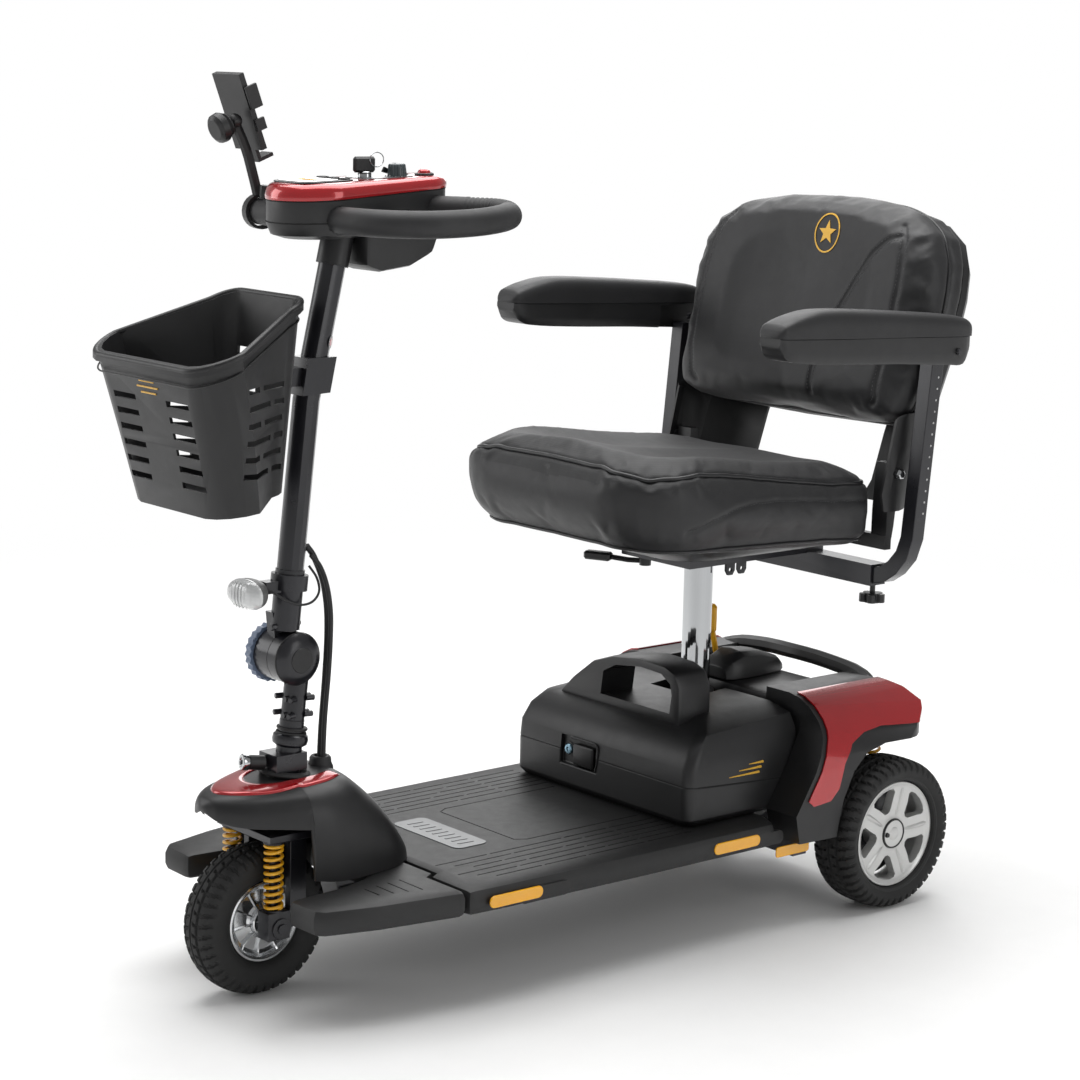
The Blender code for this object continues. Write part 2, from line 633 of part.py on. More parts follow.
# ---------------------------------------------------------------- deck
dz0, dz1 = DECK_Z
front_half = [(0.0, -0.41), (0.07, -0.416), (0.098, -0.45), (0.112, -0.5), (0.119, -0.588),
              (0.178, -0.586), (0.1895, -0.575), (0.2105, -0.5), (0.2315, -0.366),
              (0.2315, -0.3735), (0.145, -0.3735), (0.135, -0.358), (0.0, -0.358)]
front_half = [p for i, p in enumerate(front_half) if i != 8]
front_deck = plan_slab(mirror_half(front_half), dz0, dz1)
front_deck = bevel(front_deck, 0.012, 2, 60)
front_deck = cut(front_deck, box(-0.0212, 0.0212, -0.43, -0.3835, 0.12, 0.18))
inner = [(0.155, -0.57), (0.178, -0.565), (0.198, -0.497), (0.215, -0.385), (0.14, -0.385),
         (0.125, -0.372), (0.125, -0.46), (0.14, -0.5)]
for s in (1, -1):
    front_deck = cut(front_deck, plan_slab([(s * x, y) for x, y in inner], dz0 - 0.01, dz1 - 0.014))
place_part("front_deck", front_deck, "deck_black")

rear_half = [(0.0, -0.3575), (0.1352, -0.3575), (0.1452, -0.373), (0.2318, -0.373),
             (0.2345, -0.322), (0.239, -0.075), (0.24, 0.19), (0.2, 0.207), (0.118, 0.209), (0.116, 0.3),
             (0.0, 0.3)]
rear_deck = bevel(plan_slab(mirror_half(rear_half), dz0, dz1), 0.012, 2, 60)
rear_deck = cut(rear_deck, rod((0, POST_Y, 0.1), (0, POST_Y, 0.2), 0.0305, 24))
for s in (1, -1):
    well = [(0.04, -0.345), (0.125, -0.345), (0.15, -0.36), (0.222, -0.36), (0.23, -0.07),
            (0.23, 0.175), (0.11, 0.19), (0.108, 0.285), (0.04, 0.285)]
    rear_deck = cut(rear_deck, plan_slab([(s * x, y) for x, y in well], dz0 - 0.01, dz1 - 0.014))
for s in (1, -1):
    for y0, y1 in ((-0.292, -0.205), (0.118, 0.205)):
        rear_deck = cut(rear_deck, bevel(box(*sorted((s * 0.2335, s * 0.26)), y0, y1, 0.1335, 0.1525),
                                         0.004, 1))
place_part("rear_deck", rear_deck, "deck_black")

# ---------------------------------------------------------------- chassis
rails = box(-0.0255, 0.0255, -0.43, 0.295, 0.1, 0.1268)
for s in (1, -1):
    rails = join(rails, box(*sorted((s * 0.07, s * 0.095)), -0.33, 0.331, 0.1, 0.1268))
for y in (-0.31, -0.02, 0.23):
    rails = join(rails, box(-0.15, 0.15, y - 0.0125, y + 0.0125, 0.102, 0.1262))
neck = side_slab([(-0.43, 0.1), (-0.4, 0.1), (-0.385, 0.126), (-0.428, 0.19), (-0.466, 0.24),
                  (-0.4905, 0.265), (-0.4925, 0.2455), (-0.472, 0.225), (-0.448, 0.19)], -0.02, 0.02)
head = rod((0, steer_y(0.2415), 0.2415), (0, steer_y(0.27), 0.27), 0.0235, 24)
rails = join(rails, neck, head)
socket = rod((0, POST_Y, 0.112), (0, POST_Y, 0.3105), 0.0295, 24)
rails = cut(join(rails, socket), rod((0, POST_Y, 0.13), (0, POST_Y, 0.33), POST_R + GAP, 24))
rails = cut(rails, rod((0, steer_y(0.22), 0.22), (0, steer_y(0.3), 0.3), 0.0149, 24))
place_part("chassis", rails, "metal_black")

# ---------------------------------------------------------------- front shroud
SHROUD = (
    # y, half width, z low, z crest, boxiness of the arch
    (-0.641, 0.012, 0.2635, 0.275, 0.8), (-0.634, 0.029, 0.2555, 0.2825, 0.7),
    (-0.609, 0.054, 0.2485, 0.2885, 0.6), (-0.56, 0.077, 0.244, 0.293, 0.52),
    (-0.527, 0.09, 0.241, 0.2965, 0.5), (-0.5245, 0.095, 0.1715, 0.2967, 0.5),
    (-0.49, 0.101, 0.1666, 0.2985, 0.55), (-0.45, 0.102, 0.1666, 0.299, 0.66),
    (-0.42, 0.099, 0.1666, 0.28, 0.75), (-0.385, 0.09, 0.1666, 0.247, 0.8),
    (-0.35, 0.064, 0.1666, 0.202, 0.85), (-0.331, 0.03, 0.1666, 0.175, 0.9))


def arch_ring(row, inset=0.0, drop=0.0, n=8):
    y, w, low, crest, power = row
    w = max(w - inset, 0.006)
    crest = crest - inset
    low = low - drop
    out = []
    for k in range(n + 1):
        a = math.pi * k / n
        c = math.cos(a)
        x = w * math.copysign(abs(c) ** power, c)
        out.append((x, y, low + (crest - low) * math.sin(a) ** power))
    return out


def shroud_skin(grow):
    return loft([arch_ring(row, -grow) for row in SHROUD])


inner_rows = [(y + (0.004 if i == 0 else (-0.004 if i == len(SHROUD) - 1 else 0)), w, lo, cr, p)
              for i, (y, w, lo, cr, p) in enumerate(SHROUD)]
shroud = cut(shroud_skin(0.0), loft([arch_ring(row, 0.0035, 0.03) for row in inner_rows]))
entry = rod((0, -0.4515, 0.28), (0, -0.4515, 0.311), 0.0155, 12)
shroud = join(shroud, entry)
shroud = cut(shroud, rod((0, steer_y(0.27), 0.27), (0, steer_y(0.34), 0.34), 0.0275, 24),
             rod((0, -0.4518, 0.25), (0, -0.4518, 0.33), 0.0085, 12))
place_part("front_shroud", shroud, "satin_black")
accent_half = [(0.0, -0.62), (0.02, -0.612), (0.041, -0.589), (0.056, -0.555), (0.06, -0.515),
               (0.056, -0.47), (0.046, -0.452), (0.034, -0.458), (0.0385, -0.5), (0.036, -0.54),
               (0.022, -0.562), (0.0, -0.568)]
accent = combine("INTERSECT", plan_slab(mirror_half(accent_half), 0.2535, 0.33), shroud_skin(0.0022))
accent = cut(accent, shroud_skin(GAP))
place_part("shroud_accent", accent, "red")

# ---------------------------------------------------------------- battery pack
def pack_outline(inset, y0, y1):
    """Plan of the pack, its two front corners rounded."""
    hx = 0.1945 - inset
    r = 0.017
    right = [(hx, y1)]
    for k in range(5):
        a = math.radians(-90 * k / 4)
        right.append((hx - r + r * math.cos(a), y0 + r + r * math.sin(a)))
    return right + [(-x, y) for x, y in reversed(right)]


def pack_ring(inset, y0, y1, zf, zr):
    out = []
    for x, y in pack_outline(inset, y0, y1):
        t = (y - 0.055) / 0.22
        out.append((x, y, zf + (zr - zf) * t))
    return out


case = loft([pack_ring(0.007, 0.062, 0.272, 0.1666, 0.1666), pack_ring(0.0, 0.055, 0.274, 0.1755, 0.175),
             pack_ring(0.0, 0.055, 0.274, 0.2264, 0.2124)])
notch = box(-0.05, 0.05, 0.2, 0.3, 0.15, 0.4)
case = cut(case, box(-0.088, -0.008, 0.04, 0.0615, 0.205, 0.26), notch)
place_part("battery_case", case, "satin_black", (0, 0.165, 0.1666))
top = loft([pack_ring(0.0, 0.055, 0.274, 0.2268, 0.2128), pack_ring(0.001, 0.057, 0.274, 0.252, 0.248),
            pack_ring(0.006, 0.07, 0.273, 0.2755, 0.287), pack_ring(0.016, 0.092, 0.271, 0.2915, 0.307),
            pack_ring(0.05, 0.135, 0.262, 0.302, 0.32)])
top = cut(top, box(-0.088, -0.008, 0.04, 0.0615, 0.2, 0.249), notch)
grip_outer = [(-0.15, 0.295), (-0.118, 0.326), (-0.075, 0.358), (-0.03, 0.374), (0.03, 0.382),
              (0.085, 0.38), (0.108, 0.372), (0.119, 0.352), (0.121, 0.295)]
grip = prism(grip_outer, lambda x, z, s: (x, 0.165 if s else 0.1, z))
grip = bevel(grip, 0.006, 2, 30)
hole = [(-0.052, 0.312), (-0.047, 0.348), (-0.02, 0.362), (0.035, 0.37), (0.08, 0.368),
        (0.1, 0.356), (0.104, 0.34), (0.1, 0.312)]
grip = cut(grip, prism(hole, lambda x, z, s: (x, 0.2 if s else 0.08, z)))
top = join(top, grip)
place_part("battery_cover", top, "satin_black", (0, 0.165, 0.1666))
latch = bevel(box(-0.06, -0.0135, 0.0535, 0.061, 0.207, 0.2405), 0.004, 2)
place_part("battery_latch", latch, "satin_black", (-0.0135, 0.0572, 0.2238))

# ---------------------------------------------------------------- rear body
FENDER = [(0.222, 0.131), (0.213, 0.173), (0.251, 0.234), (0.2765, 0.285), (0.2785, 0.3),
          (0.2785, 0.35), (0.53, 0.35), (0.53, 0.254), (0.45, 0.2555),
          (0.4, 0.2565), (0.36, 0.248), (0.332, 0.225), (0.312, 0.185), (0.302, 0.145), (0.3, 0.129)]
BROW = [(0.2785, 0.262), (0.2785, 0.35), (0.53, 0.35), (0.53, 0.2622), (0.44, 0.2622)]
CROWN = ((0.1, 0.334), (0.168, 0.3335), (0.19, 0.3295), (0.21, 0.3195), (0.23, 0.302), (0.246, 0.279),
         (0.2545, 0.255), (0.257, 0.23))
TAIL = ((0.1, 0.3335), (0.457, 0.3335), (0.479, 0.322), (0.497, 0.302), (0.507, 0.28), (0.51, 0.25))
PLAN = ((0.257, 0.1), (0.257, 0.42), (0.255, 0.452), (0.249, 0.474), (0.237, 0.492), (0.218, 0.504),
        (0.19, 0.51), (0.1, 0.512))


def fender(grow=0.0):
    """Side outline trimmed by a crown section, a tail line and a rounded plan."""
    flank = join(side_slab(FENDER, 0.1955, 0.28), side_slab(BROW, 0.1205, 0.1965))
    crown = [(x + grow, z + grow) for x, z in CROWN]
    crown = [(0.1, 0.1)] + crown + [(crown[-1][0], 0.1)]
    tail = [(y + grow, z + grow) for y, z in TAIL]
    tail = [(0.1, 0.1)] + tail + [(tail[-1][0], 0.1)]
    plan = [(x + grow, y + grow) for x, y in PLAN] + [(0.1, 0.1)]
    return combine("INTERSECT", flank, prism(crown, lambda x, z, t: (x, 0.6 if t else 0.1, z)),
                   side_slab(tail, 0.1, 0.3), plan_slab(plan, 0.1, 0.4))


rear = bevel(box(-0.15, 0.15, 0.284, 0.418, 0.262, 0.322), 0.01, 2)
for s in (1, -1):
    wing = fender() if s > 0 else flip_x(fender())
    rear = join(rear, wing)
loop = tube([(-0.176, 0.45, 0.314), (-0.14, 0.464, 0.328), (-0.08, 0.459, 0.339), (0, 0.449, 0.3445),
             (0.08, 0.459, 0.339), (0.14, 0.464, 0.328), (0.176, 0.45, 0.314)], 0.0125, res=2,
            smooth=True, span=3)
rear = join(rear, loop)
rear = cut(rear, rod((0, POST_Y, 0.2), (0, POST_Y, 0.36), 0.034, 24))
for s in (1, -1):
    boss = rod((s * 0.178, 0.452, 0.262), (s * 0.178, 0.452, 0.268), 0.017, 12)
    rear = join(rear, boss)
place_part("rear_cover", rear, "satin_black")
PANEL = [(0.236, 0.193), (0.247, 0.184), (0.282, 0.187), (0.299, 0.203), (0.309, 0.238),
         (0.328, 0.266), (0.357, 0.2785), (0.395, 0.2825), (0.46, 0.277), (0.6, 0.27), (0.6, 0.4),
         (0.2875, 0.4), (0.2875, 0.33), (0.288, 0.32), (0.2865, 0.29), (0.262, 0.235)]
for s, tag in ((1, "left"), (-1, "right")):
    panel = combine("INTERSECT", side_slab(PANEL, 0.176, 0.3), fender(0.0022))
    panel = cut(panel, fender(GAP))
    if s < 0:
        panel = flip_x(panel)
    place_part("fender_panel_" + tag, panel, "red")

# ---------------------------------------------------------------- rear axle unit
SWING = (0.318, 0.113)
ay, az = REAR_AXLE
axle = rod((-0.238, ay, az), (0.238, ay, az), 0.0098, 12)
housing = rod((-0.19, ay, az), (0.19, ay, az), 0.019, 12)
gearbox = bevel(box(-0.045, 0.06, 0.362, 0.47, 0.066, 0.168), 0.012, 1)
motor = rod((0.055, 0.44, 0.122), (0.15, 0.44, 0.122), 0.0385, 12)
pivot = rod((-0.066, SWING[0], SWING[1]), (0.066, SWING[0], SWING[1]), 0.0125, 12)
unit = join(axle, housing, gearbox, motor, pivot)
for s in (1, -1):
    arm = box(*sorted((s * 0.032, s * 0.046)), SWING[0], 0.385, 0.1035, 0.1225)
    seat = rod((s * 0.178, 0.452, 0.126), (s * 0.178, 0.452, 0.149), 0.0155, 12)
    web = box(*sorted((s * 0.168, s * 0.188)), 0.418, 0.455, 0.106, 0.134)
    unit = join(unit, arm, seat, web)
place_part("transaxle", unit, "metal_black", (0, SWING[0], SWING[1]))
for s, tag in ((1, "left"), (-1, "right")):
    spring = coil(s * 0.178, 0.452, 0.1495, 0.2615, 0.0125, 0.0024, 7.0)
    place_part("rear_spring_" + tag, spring, "yellow", (s * 0.178, 0.452, 0.2615))
lever = tube([(-0.048, 0.345, 0.3245), (-0.05, 0.335, 0.35), (-0.05, 0.326, 0.385)], 0.0045, res=1)
paddle_grip = bevel(box(-0.0575, -0.0425, 0.318, 0.333, 0.378, 0.424), 0.005, 1)
place_part("freewheel_lever", join(lever, paddle_grip), "yellow", (-0.048, 0.345, 0.3245))

# ---------------------------------------------------------------- seat post
place_part("seat_post", rod((0, POST_Y, 0.16), (0, POST_Y, 0.5075), POST_R, 32), "chrome",
           (0, POST_Y, 0.5075))
hood_rows = ((0.286, 0.026, 0.3225, 0.341), (0.297, 0.033, 0.3225, 0.354), (0.32, 0.036, 0.3225, 0.3645),
             (0.36, 0.035, 0.3225, 0.36), (0.4, 0.029, 0.3225, 0.347), (0.417, 0.017, 0.3225, 0.334))
hood = loft([arch_ring((y, w, lo, hi, 0.6), 0, 0, 8) for y, w, lo, hi in hood_rows])
hood = cut(hood, rod((0, POST_Y, 0.3), (0, POST_Y, 0.4), 0.0315, 24))
place_part("post_lever", hood, "satin_black", (0, 0.417, 0.3225))

# ---------------------------------------------------------------- seat
hub = rod((0, POST_Y, 0.508), (0, POST_Y, 0.531), 0.034, 24)
hub = join(hub, box(-0.075, 0.075, 0.155, 0.435, 0.5165, 0.531))
cy, cz = CROSS
hub = join(hub, box(-0.2085, 0.2085, cy - 0.016, cy + 0.016, cz - 0.016, cz + 0.016),
           box(-0.05, 0.05, cy - 0.014, cy + 0.014, cz + 0.01, 0.522))
for y in (0.283, 0.307):
    lug = side_slab([(y - 0.009, 0.52), (y - 0.009, 0.494), (y - 0.0045, 0.487), (y + 0.0045, 0.487),
                     (y + 0.009, 0.494), (y + 0.009, 0.52)], 0.026, 0.03)
    lug = cut(lug, rod((0.0, y, 0.4955), (0.05, y, 0.4955), 0.0035, 12))
    hub = join(hub, lug)
for s in (1, -1):
    hub = cut(hub, box(*sorted((s * 0.012, s * 0.25)), cy - 0.0127, cy + 0.0127, cz - 0.0127, cz + 0.0127))
    hub = cut(hub, rod((s * 0.199, cy, cz - 0.0235), (s * 0.199, cy, cz - 0.012), 0.0052, 12))
place_part("seat_receiver", hub, "metal_black", (0, POST_Y, 0.52))

lever = tube([(-0.036, 0.168, 0.5105), (-0.062, 0.157, 0.509), (-0.09, 0.143, 0.511)], 0.0042, res=1)
lever = join(lever, rod((-0.036, 0.168, 0.504), (-0.036, 0.168, 0.5158), 0.009, 12),
             bevel(box(-0.127, -0.084, 0.126, 0.144, 0.5045, 0.5175,
                       Matrix.Rotation(math.radians(25), 4, "Z")), 0.003, 1))
place_part("swivel_lever", lever, "satin_black", (-0.036, 0.168, 0.5105))


def cushion_z(y, base, front=0.0, rear=0.0):
    """Height of a seat level: tips down to the rear."""
    t = min(max((y + 0.055) / 0.455, 0.0), 1.0)
    return base + front * (1 - t) + rear * t


def seat_ring(hx, y0, y1, rf, rr, base, front, rear, dish=0.0):
    out = []
    for x, y in round_rect(hx, y0, y1, (rf, rr), 5):
        out.append((x, y, cushion_z(y, base, front, rear)))
    return out


cushion = loft([seat_ring(0.17, 0.01, 0.36, 0.08, 0.05, 0.0, 0.568, 0.5495),
                seat_ring(0.206, -0.044, 0.388, 0.09, 0.05, 0.0, 0.578, 0.552),
                seat_ring(0.226, -0.069, 0.398, 0.1, 0.05, 0.0, 0.606, 0.57),
                seat_ring(0.2325, -0.078, 0.402, 0.105, 0.05, 0.0, 0.645, 0.6),
                seat_ring(0.2315, -0.077, 0.4, 0.1, 0.05, 0.0, 0.692, 0.641),
                seat_ring(0.2195, -0.064, 0.39, 0.095, 0.05, 0.0, 0.7105, 0.6575),
                seat_ring(0.19, -0.03, 0.37, 0.09, 0.05, 0.0, 0.712, 0.662),
                seat_ring(0.1, 0.06, 0.3, 0.08, 0.05, 0.0, 0.702, 0.657)])
tub = loft([seat_ring(0.1, 0.12, 0.395, 0.06, 0.04, 0.0, 0.5316, 0.5316),
            seat_ring(0.15, 0.07, 0.41, 0.08, 0.05, 0.0, 0.552, 0.543),
            seat_ring(0.168, 0.03, 0.414, 0.08, 0.05, 0.0, 0.5676, 0.5491)])
for s in (1, -1):
    ear = side_slab([(0.4045, 0.5475), (0.414, 0.5475), (0.42, 0.58), (0.427, 0.645), (0.423, 0.674),
                     (0.4085, 0.674), (0.4045, 0.6)], *sorted((s * 0.2, s * 0.2305)))
    sweep = box(*sorted((s * 0.12, s * 0.2305)), 0.403, 0.416, 0.545, 0.566)
    tub = join(tub, sweep, ear)
floor = seat_ring(0.1685, 0.0295, 0.43, 0.08, 0.02, 0.0, 0.568, 0.5495)
cushion = cut(cushion, loft([[(x, y, z - 0.05) for x, y, z in floor], floor]))
place_part("seat_cushion", cushion, "vinyl", (0, POST_Y, 0.6))
place_part("seat_tub", tub, "satin_black", (0, POST_Y, 0.6))

# ---------------------------------------------------------------- backrest
BACK_O = Vector((0, 0.3925, 0.733))
BACK_H = Vector((0, math.sin(LEAN), math.cos(LEAN)))
BACK_D = Vector((0, -math.cos(LEAN), math.sin(LEAN)))


def back_point(u, h, d):
    return tuple(BACK_O + Vector((u, 0, 0)) + BACK_H * h + BACK_D * d)


BACK_HALF = [(0.0, 0.0), (0.2, 0.002), (0.231, 0.012), (0.242, 0.04), (0.249, 0.11), (0.2515, 0.17),
             (0.251, 0.21), (0.243, 0.255), (0.222, 0.293), (0.178, 0.321), (0.1, 0.336), (0.0, 0.341)]
BACK_TOP_DEPTH = 0.022


def back_ring(scale_x, grow, d, bow=0.0, swell=1.0):
    """One outline of the back, deeper toward its top by a share of BACK_TOP_DEPTH."""
    out = []
    for u, h in mirror_half(BACK_HALF):
        uu = u * scale_x
        hh = 0.165 + (h - 0.165) * (1 + grow / 0.166)
        deep = swell * BACK_TOP_DEPTH * hh / 0.341
        out.append(back_point(uu, hh, d - deep - bow * (1 - (u / 0.252) ** 2)))
    return out


pad = loft([back_ring(0.97, -0.006, -0.078, 0.012), back_ring(1.0, 0.0, -0.066, 0.012),
            back_ring(1.012, 0.002, -0.03, 0.014, 0.5), back_ring(0.985, -0.004, -0.009, 0.016, 0.0),
            back_ring(0.92, -0.016, 0.0, 0.018, 0.0), back_ring(0.6, -0.06, 0.003, 0.018, 0.0)])
place_part("back_cushion", pad, "vinyl", (0, HINGE[0], HINGE[1]))
plate = loft([back_ring(0.965, -0.007, -0.0786, 0.0122), back_ring(0.972, -0.006, -0.09, 0.0122),
              back_ring(0.94, -0.016, -0.103, 0.012), back_ring(0.75, -0.05, -0.109, 0.012)])


def wing(s):
    outer = [(0.2362, 0.392), (0.2402, 0.405), (0.2402, 0.434), (0.231, 0.464), (0.207, 0.485),
             (0.17, 0.496), (0.127, 0.498)]
    inner = [(0.127, 0.493), (0.169, 0.491), (0.204, 0.4805), (0.2265, 0.4605), (0.2352, 0.4325),
             (0.2354, 0.406), (0.2322, 0.392)]
    rows = []
    for z, fore, aft in ((0.604, 0.012, -0.018), (0.63, 0.0, -0.006), (0.70, 0.0, 0.0), (0.742, 0.0, 0.006),
                         (0.8, 0.02, 0.01)):
        shift = (z - HINGE[1]) * math.tan(LEAN)
        row = []
        for x, y in outer + inner:
            t = (y - 0.392) / 0.09
            row.append((s * x, y + shift + fore * (1 - t) + aft * t, z))
        rows.append(row)
    return loft(rows)


shell = join(plate, wing(1), wing(-1))
shell = cut(shell, loft([back_ring(0.975, -0.0052, -0.0784, 0.012), back_ring(1.005, 0.0008, -0.066, 0.012),
                         back_ring(1.017, 0.0028, -0.03, 0.014, 0.5), back_ring(1.01, 0.001, 0.02, 0.016, 0.0)]))
for s in (1, -1):
    bolt = rod((s * 0.2318, HINGE[0], HINGE[1]), (s * 0.2445, HINGE[0], HINGE[1]), 0.0085, 12)
    shell = join(shell, bolt)
place_part("back_shell", shell, "satin_black", (0, HINGE[0], HINGE[1]))

# ---------------------------------------------------------------- armrests
ARM_PATH = [(0.03, cy, cz), (0.209, cy, cz), (0.226, cy, cz + 0.004), (0.244, cy + 0.0012, cz + 0.0165),
            (0.2595, cy + 0.0035, cz + 0.0365), (0.2665, cy + 0.0065, cz + 0.0635), (0.267, 0.4465, 0.836)]
ARM_HALF = 0.0122


def square_bar(path, half):
    """Square section carried along a path lying close to the X-Z plane."""
    rings = []
    for i, p in enumerate(path):
        a = Vector(path[max(i - 1, 0)])
        b = Vector(path[min(i + 1, len(path) - 1)])
        along = (b - a).normalized()
        side = along.cross(Vector((0, 1, 0))).normalized()
        deep = side.cross(along).normalized()
        rings.append([tuple(Vector(p) + side * u * half + deep * v * half)
                      for u, v in ((-1, -1), (1, -1), (1, 1), (-1, 1))])
    return loft(rings)


TRAY = ((0.0907, 0.02, 0.868, 0.8805), (0.1008, 0.0245, 0.854, 0.8803), (0.1201, 0.0262, 0.8465, 0.8795),
        (0.2084, 0.0262, 0.8395, 0.876), (0.3334, 0.0258, 0.8335, 0.872), (0.439, 0.0245, 0.8265, 0.868),
        (0.4698, 0.0225, 0.8265, 0.867), (0.4832, 0.018, 0.842, 0.8665))
PAD = ((0.0895, 0.0215, 0.88, 0.8895), (0.0989, 0.0265, 0.8795, 0.9), (0.1316, 0.029, 0.8783, 0.9105),
       (0.1748, 0.0292, 0.8765, 0.9165), (0.2661, 0.0288, 0.873, 0.9125), (0.3622, 0.028, 0.87, 0.9055),
       (0.439, 0.027, 0.867, 0.899), (0.4717, 0.0245, 0.866, 0.8935), (0.489, 0.018, 0.8655, 0.8815))


def lid_ring(y, w, low, high, n=6):
    """Flat-bottomed section with a domed, boxy top."""
    out = []
    for k in range(n + 1):
        a = math.pi * k / n
        c = math.cos(a)
        out.append((ARM_X + w * math.copysign(abs(c) ** 0.45, c), y,
                    low + (high - low) * math.sin(a) ** 0.45))
    return out


def tray_ring(y, w, low, high):
    w2 = w * 0.86
    return [(ARM_X + w2, y, low), (ARM_X + w, y, low + (high - low) * 0.35), (ARM_X + w, y, high),
            (ARM_X - w, y, high), (ARM_X - w, y, low + (high - low) * 0.35), (ARM_X - w2, y, low)]


for s, tag in ((1, "left"), (-1, "right")):
    bar = square_bar(ARM_PATH, ARM_HALF)
    bar = cut(bar, rod((0.199, cy, cz - 0.0235), (0.199, cy, cz + 0.0045), 0.0046, 12))
    tray = loft([tray_ring(*row) for row in TRAY])
    soft = loft([lid_ring(*row) for row in PAD])
    tray = cut(join(tray, soft), box(0.2544, 0.2796, 0.39, 0.52, 0.79, 0.8655))
    star = rod((0.199, cy, cz - 0.0435), (0.199, cy, cz - 0.029), 0.0125, 12)
    for k in range(5):
        a = math.radians(20 + 72 * k)
        kx, ny = 0.199 + 0.013 * math.cos(a), cy + 0.013 * math.sin(a)
        star = join(star, rod((kx, ny, cz - 0.0425), (kx, ny, cz - 0.03), 0.0068, 8))
    star = join(star, rod((0.199, cy, cz - 0.0315), (0.199, cy, cz - 0.013), 0.0042, 12))
    if s < 0:
        bar, tray, star = (flip_x(m) for m in (bar, tray, star))
    place_part("arm_frame_" + tag, bar, "metal_black", (s * 0.2, cy, cz))
    place_part("armrest_" + tag, tray, "satin_black", (s * ARM_X, ARM_HINGE[0], ARM_HINGE[1]))
    place_part("arm_knob_" + tag, star, "satin_black", (s * 0.199, cy, cz - 0.0355))

# ---------------------------------------------------------------- cables
main_cable = tube([(0.0, -0.4525, 0.276), (0.0, -0.4518, 0.32), (0.001, -0.451, 0.36),
                   (0.003, -0.4475, 0.45), (0.003, -0.4478, 0.505), (0.003, -0.453, 0.548),
                   (0.001, -0.467, 0.588), (0.0, -0.476, 0.603)], 0.0042, res=1, smooth=True, span=3)
place_part("main_cable", main_cable, "rubber")
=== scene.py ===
"""Mobility scooter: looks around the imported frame. Metres, +Z up, front toward -Y."""
import json
import math

import bmesh
import bpy
import numpy as np
from mathutils import Matrix, Vector
from mathutils.bvhtree import BVHTree


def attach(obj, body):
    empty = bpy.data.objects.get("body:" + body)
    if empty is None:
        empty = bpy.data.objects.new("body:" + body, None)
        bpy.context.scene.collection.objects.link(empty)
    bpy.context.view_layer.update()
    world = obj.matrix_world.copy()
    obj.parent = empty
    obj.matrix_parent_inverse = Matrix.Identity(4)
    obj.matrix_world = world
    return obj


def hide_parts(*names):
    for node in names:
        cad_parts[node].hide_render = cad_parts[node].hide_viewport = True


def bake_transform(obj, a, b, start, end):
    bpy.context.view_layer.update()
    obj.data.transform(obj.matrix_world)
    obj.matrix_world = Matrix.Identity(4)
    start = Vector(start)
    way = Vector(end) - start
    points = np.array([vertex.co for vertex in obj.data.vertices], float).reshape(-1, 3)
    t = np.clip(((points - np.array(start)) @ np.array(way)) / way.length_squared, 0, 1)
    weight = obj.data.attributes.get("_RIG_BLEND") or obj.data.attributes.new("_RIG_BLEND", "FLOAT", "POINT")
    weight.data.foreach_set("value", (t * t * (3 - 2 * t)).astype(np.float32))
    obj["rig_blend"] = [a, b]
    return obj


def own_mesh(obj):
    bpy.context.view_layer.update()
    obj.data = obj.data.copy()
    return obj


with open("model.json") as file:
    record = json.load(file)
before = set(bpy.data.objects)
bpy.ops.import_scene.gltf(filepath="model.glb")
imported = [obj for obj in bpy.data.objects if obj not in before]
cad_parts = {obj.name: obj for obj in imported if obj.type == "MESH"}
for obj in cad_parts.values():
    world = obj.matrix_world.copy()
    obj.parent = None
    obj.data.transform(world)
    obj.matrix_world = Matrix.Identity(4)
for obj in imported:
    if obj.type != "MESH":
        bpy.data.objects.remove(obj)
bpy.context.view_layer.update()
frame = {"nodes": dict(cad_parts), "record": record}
NODES = frame["nodes"]
SCENE = bpy.context.scene
SHIFT = 0.0689          # the datum of the dimensions lies this far behind the frame's origin
SIDES = ((1, "left"), (-1, "right"))


def at(x, y, z):
    """A point given from the datum that the dimensions below use."""
    return Vector((x, y + SHIFT, z))


# ---------------------------------------------------------------- camera, light and floor
TURN, RISE, ROLL = (math.radians(a) for a in (49.7577, 10.3588, 1.4178))
VIEW_FROM = at(2.8724, -2.5014, 1.2591)
LENS = 89.14


def aim_camera():
    back = Vector((math.sin(TURN) * math.cos(RISE), -math.cos(TURN) * math.cos(RISE), math.sin(RISE)))
    right = Vector((0, 0, 1)).cross(back).normalized()
    up = back.cross(right)
    rolled_right = right * math.cos(ROLL) + up * math.sin(ROLL)
    rolled_up = up * math.cos(ROLL) - right * math.sin(ROLL)
    data = bpy.data.cameras.new("view")
    data.lens = LENS
    data.sensor_width = 36
    data.clip_end = 200
    camera = bpy.data.objects.new("view", data)
    matrix = Matrix((rolled_right, rolled_up, back)).transposed().to_4x4()
    matrix.translation = VIEW_FROM
    camera.matrix_world = matrix
    SCENE.collection.objects.link(camera)
    SCENE.camera = camera


def area_light(name, where, target, size, power):
    data = bpy.data.lights.new(name, "AREA")
    data.shape = "RECTANGLE"
    data.size, data.size_y = size
    data.energy = power
    lamp = bpy.data.objects.new(name, data)
    lamp.location = where
    lamp.rotation_euler = (Vector(target) - Vector(where)).to_track_quat("-Z", "Y").to_euler()
    SCENE.collection.objects.link(lamp)


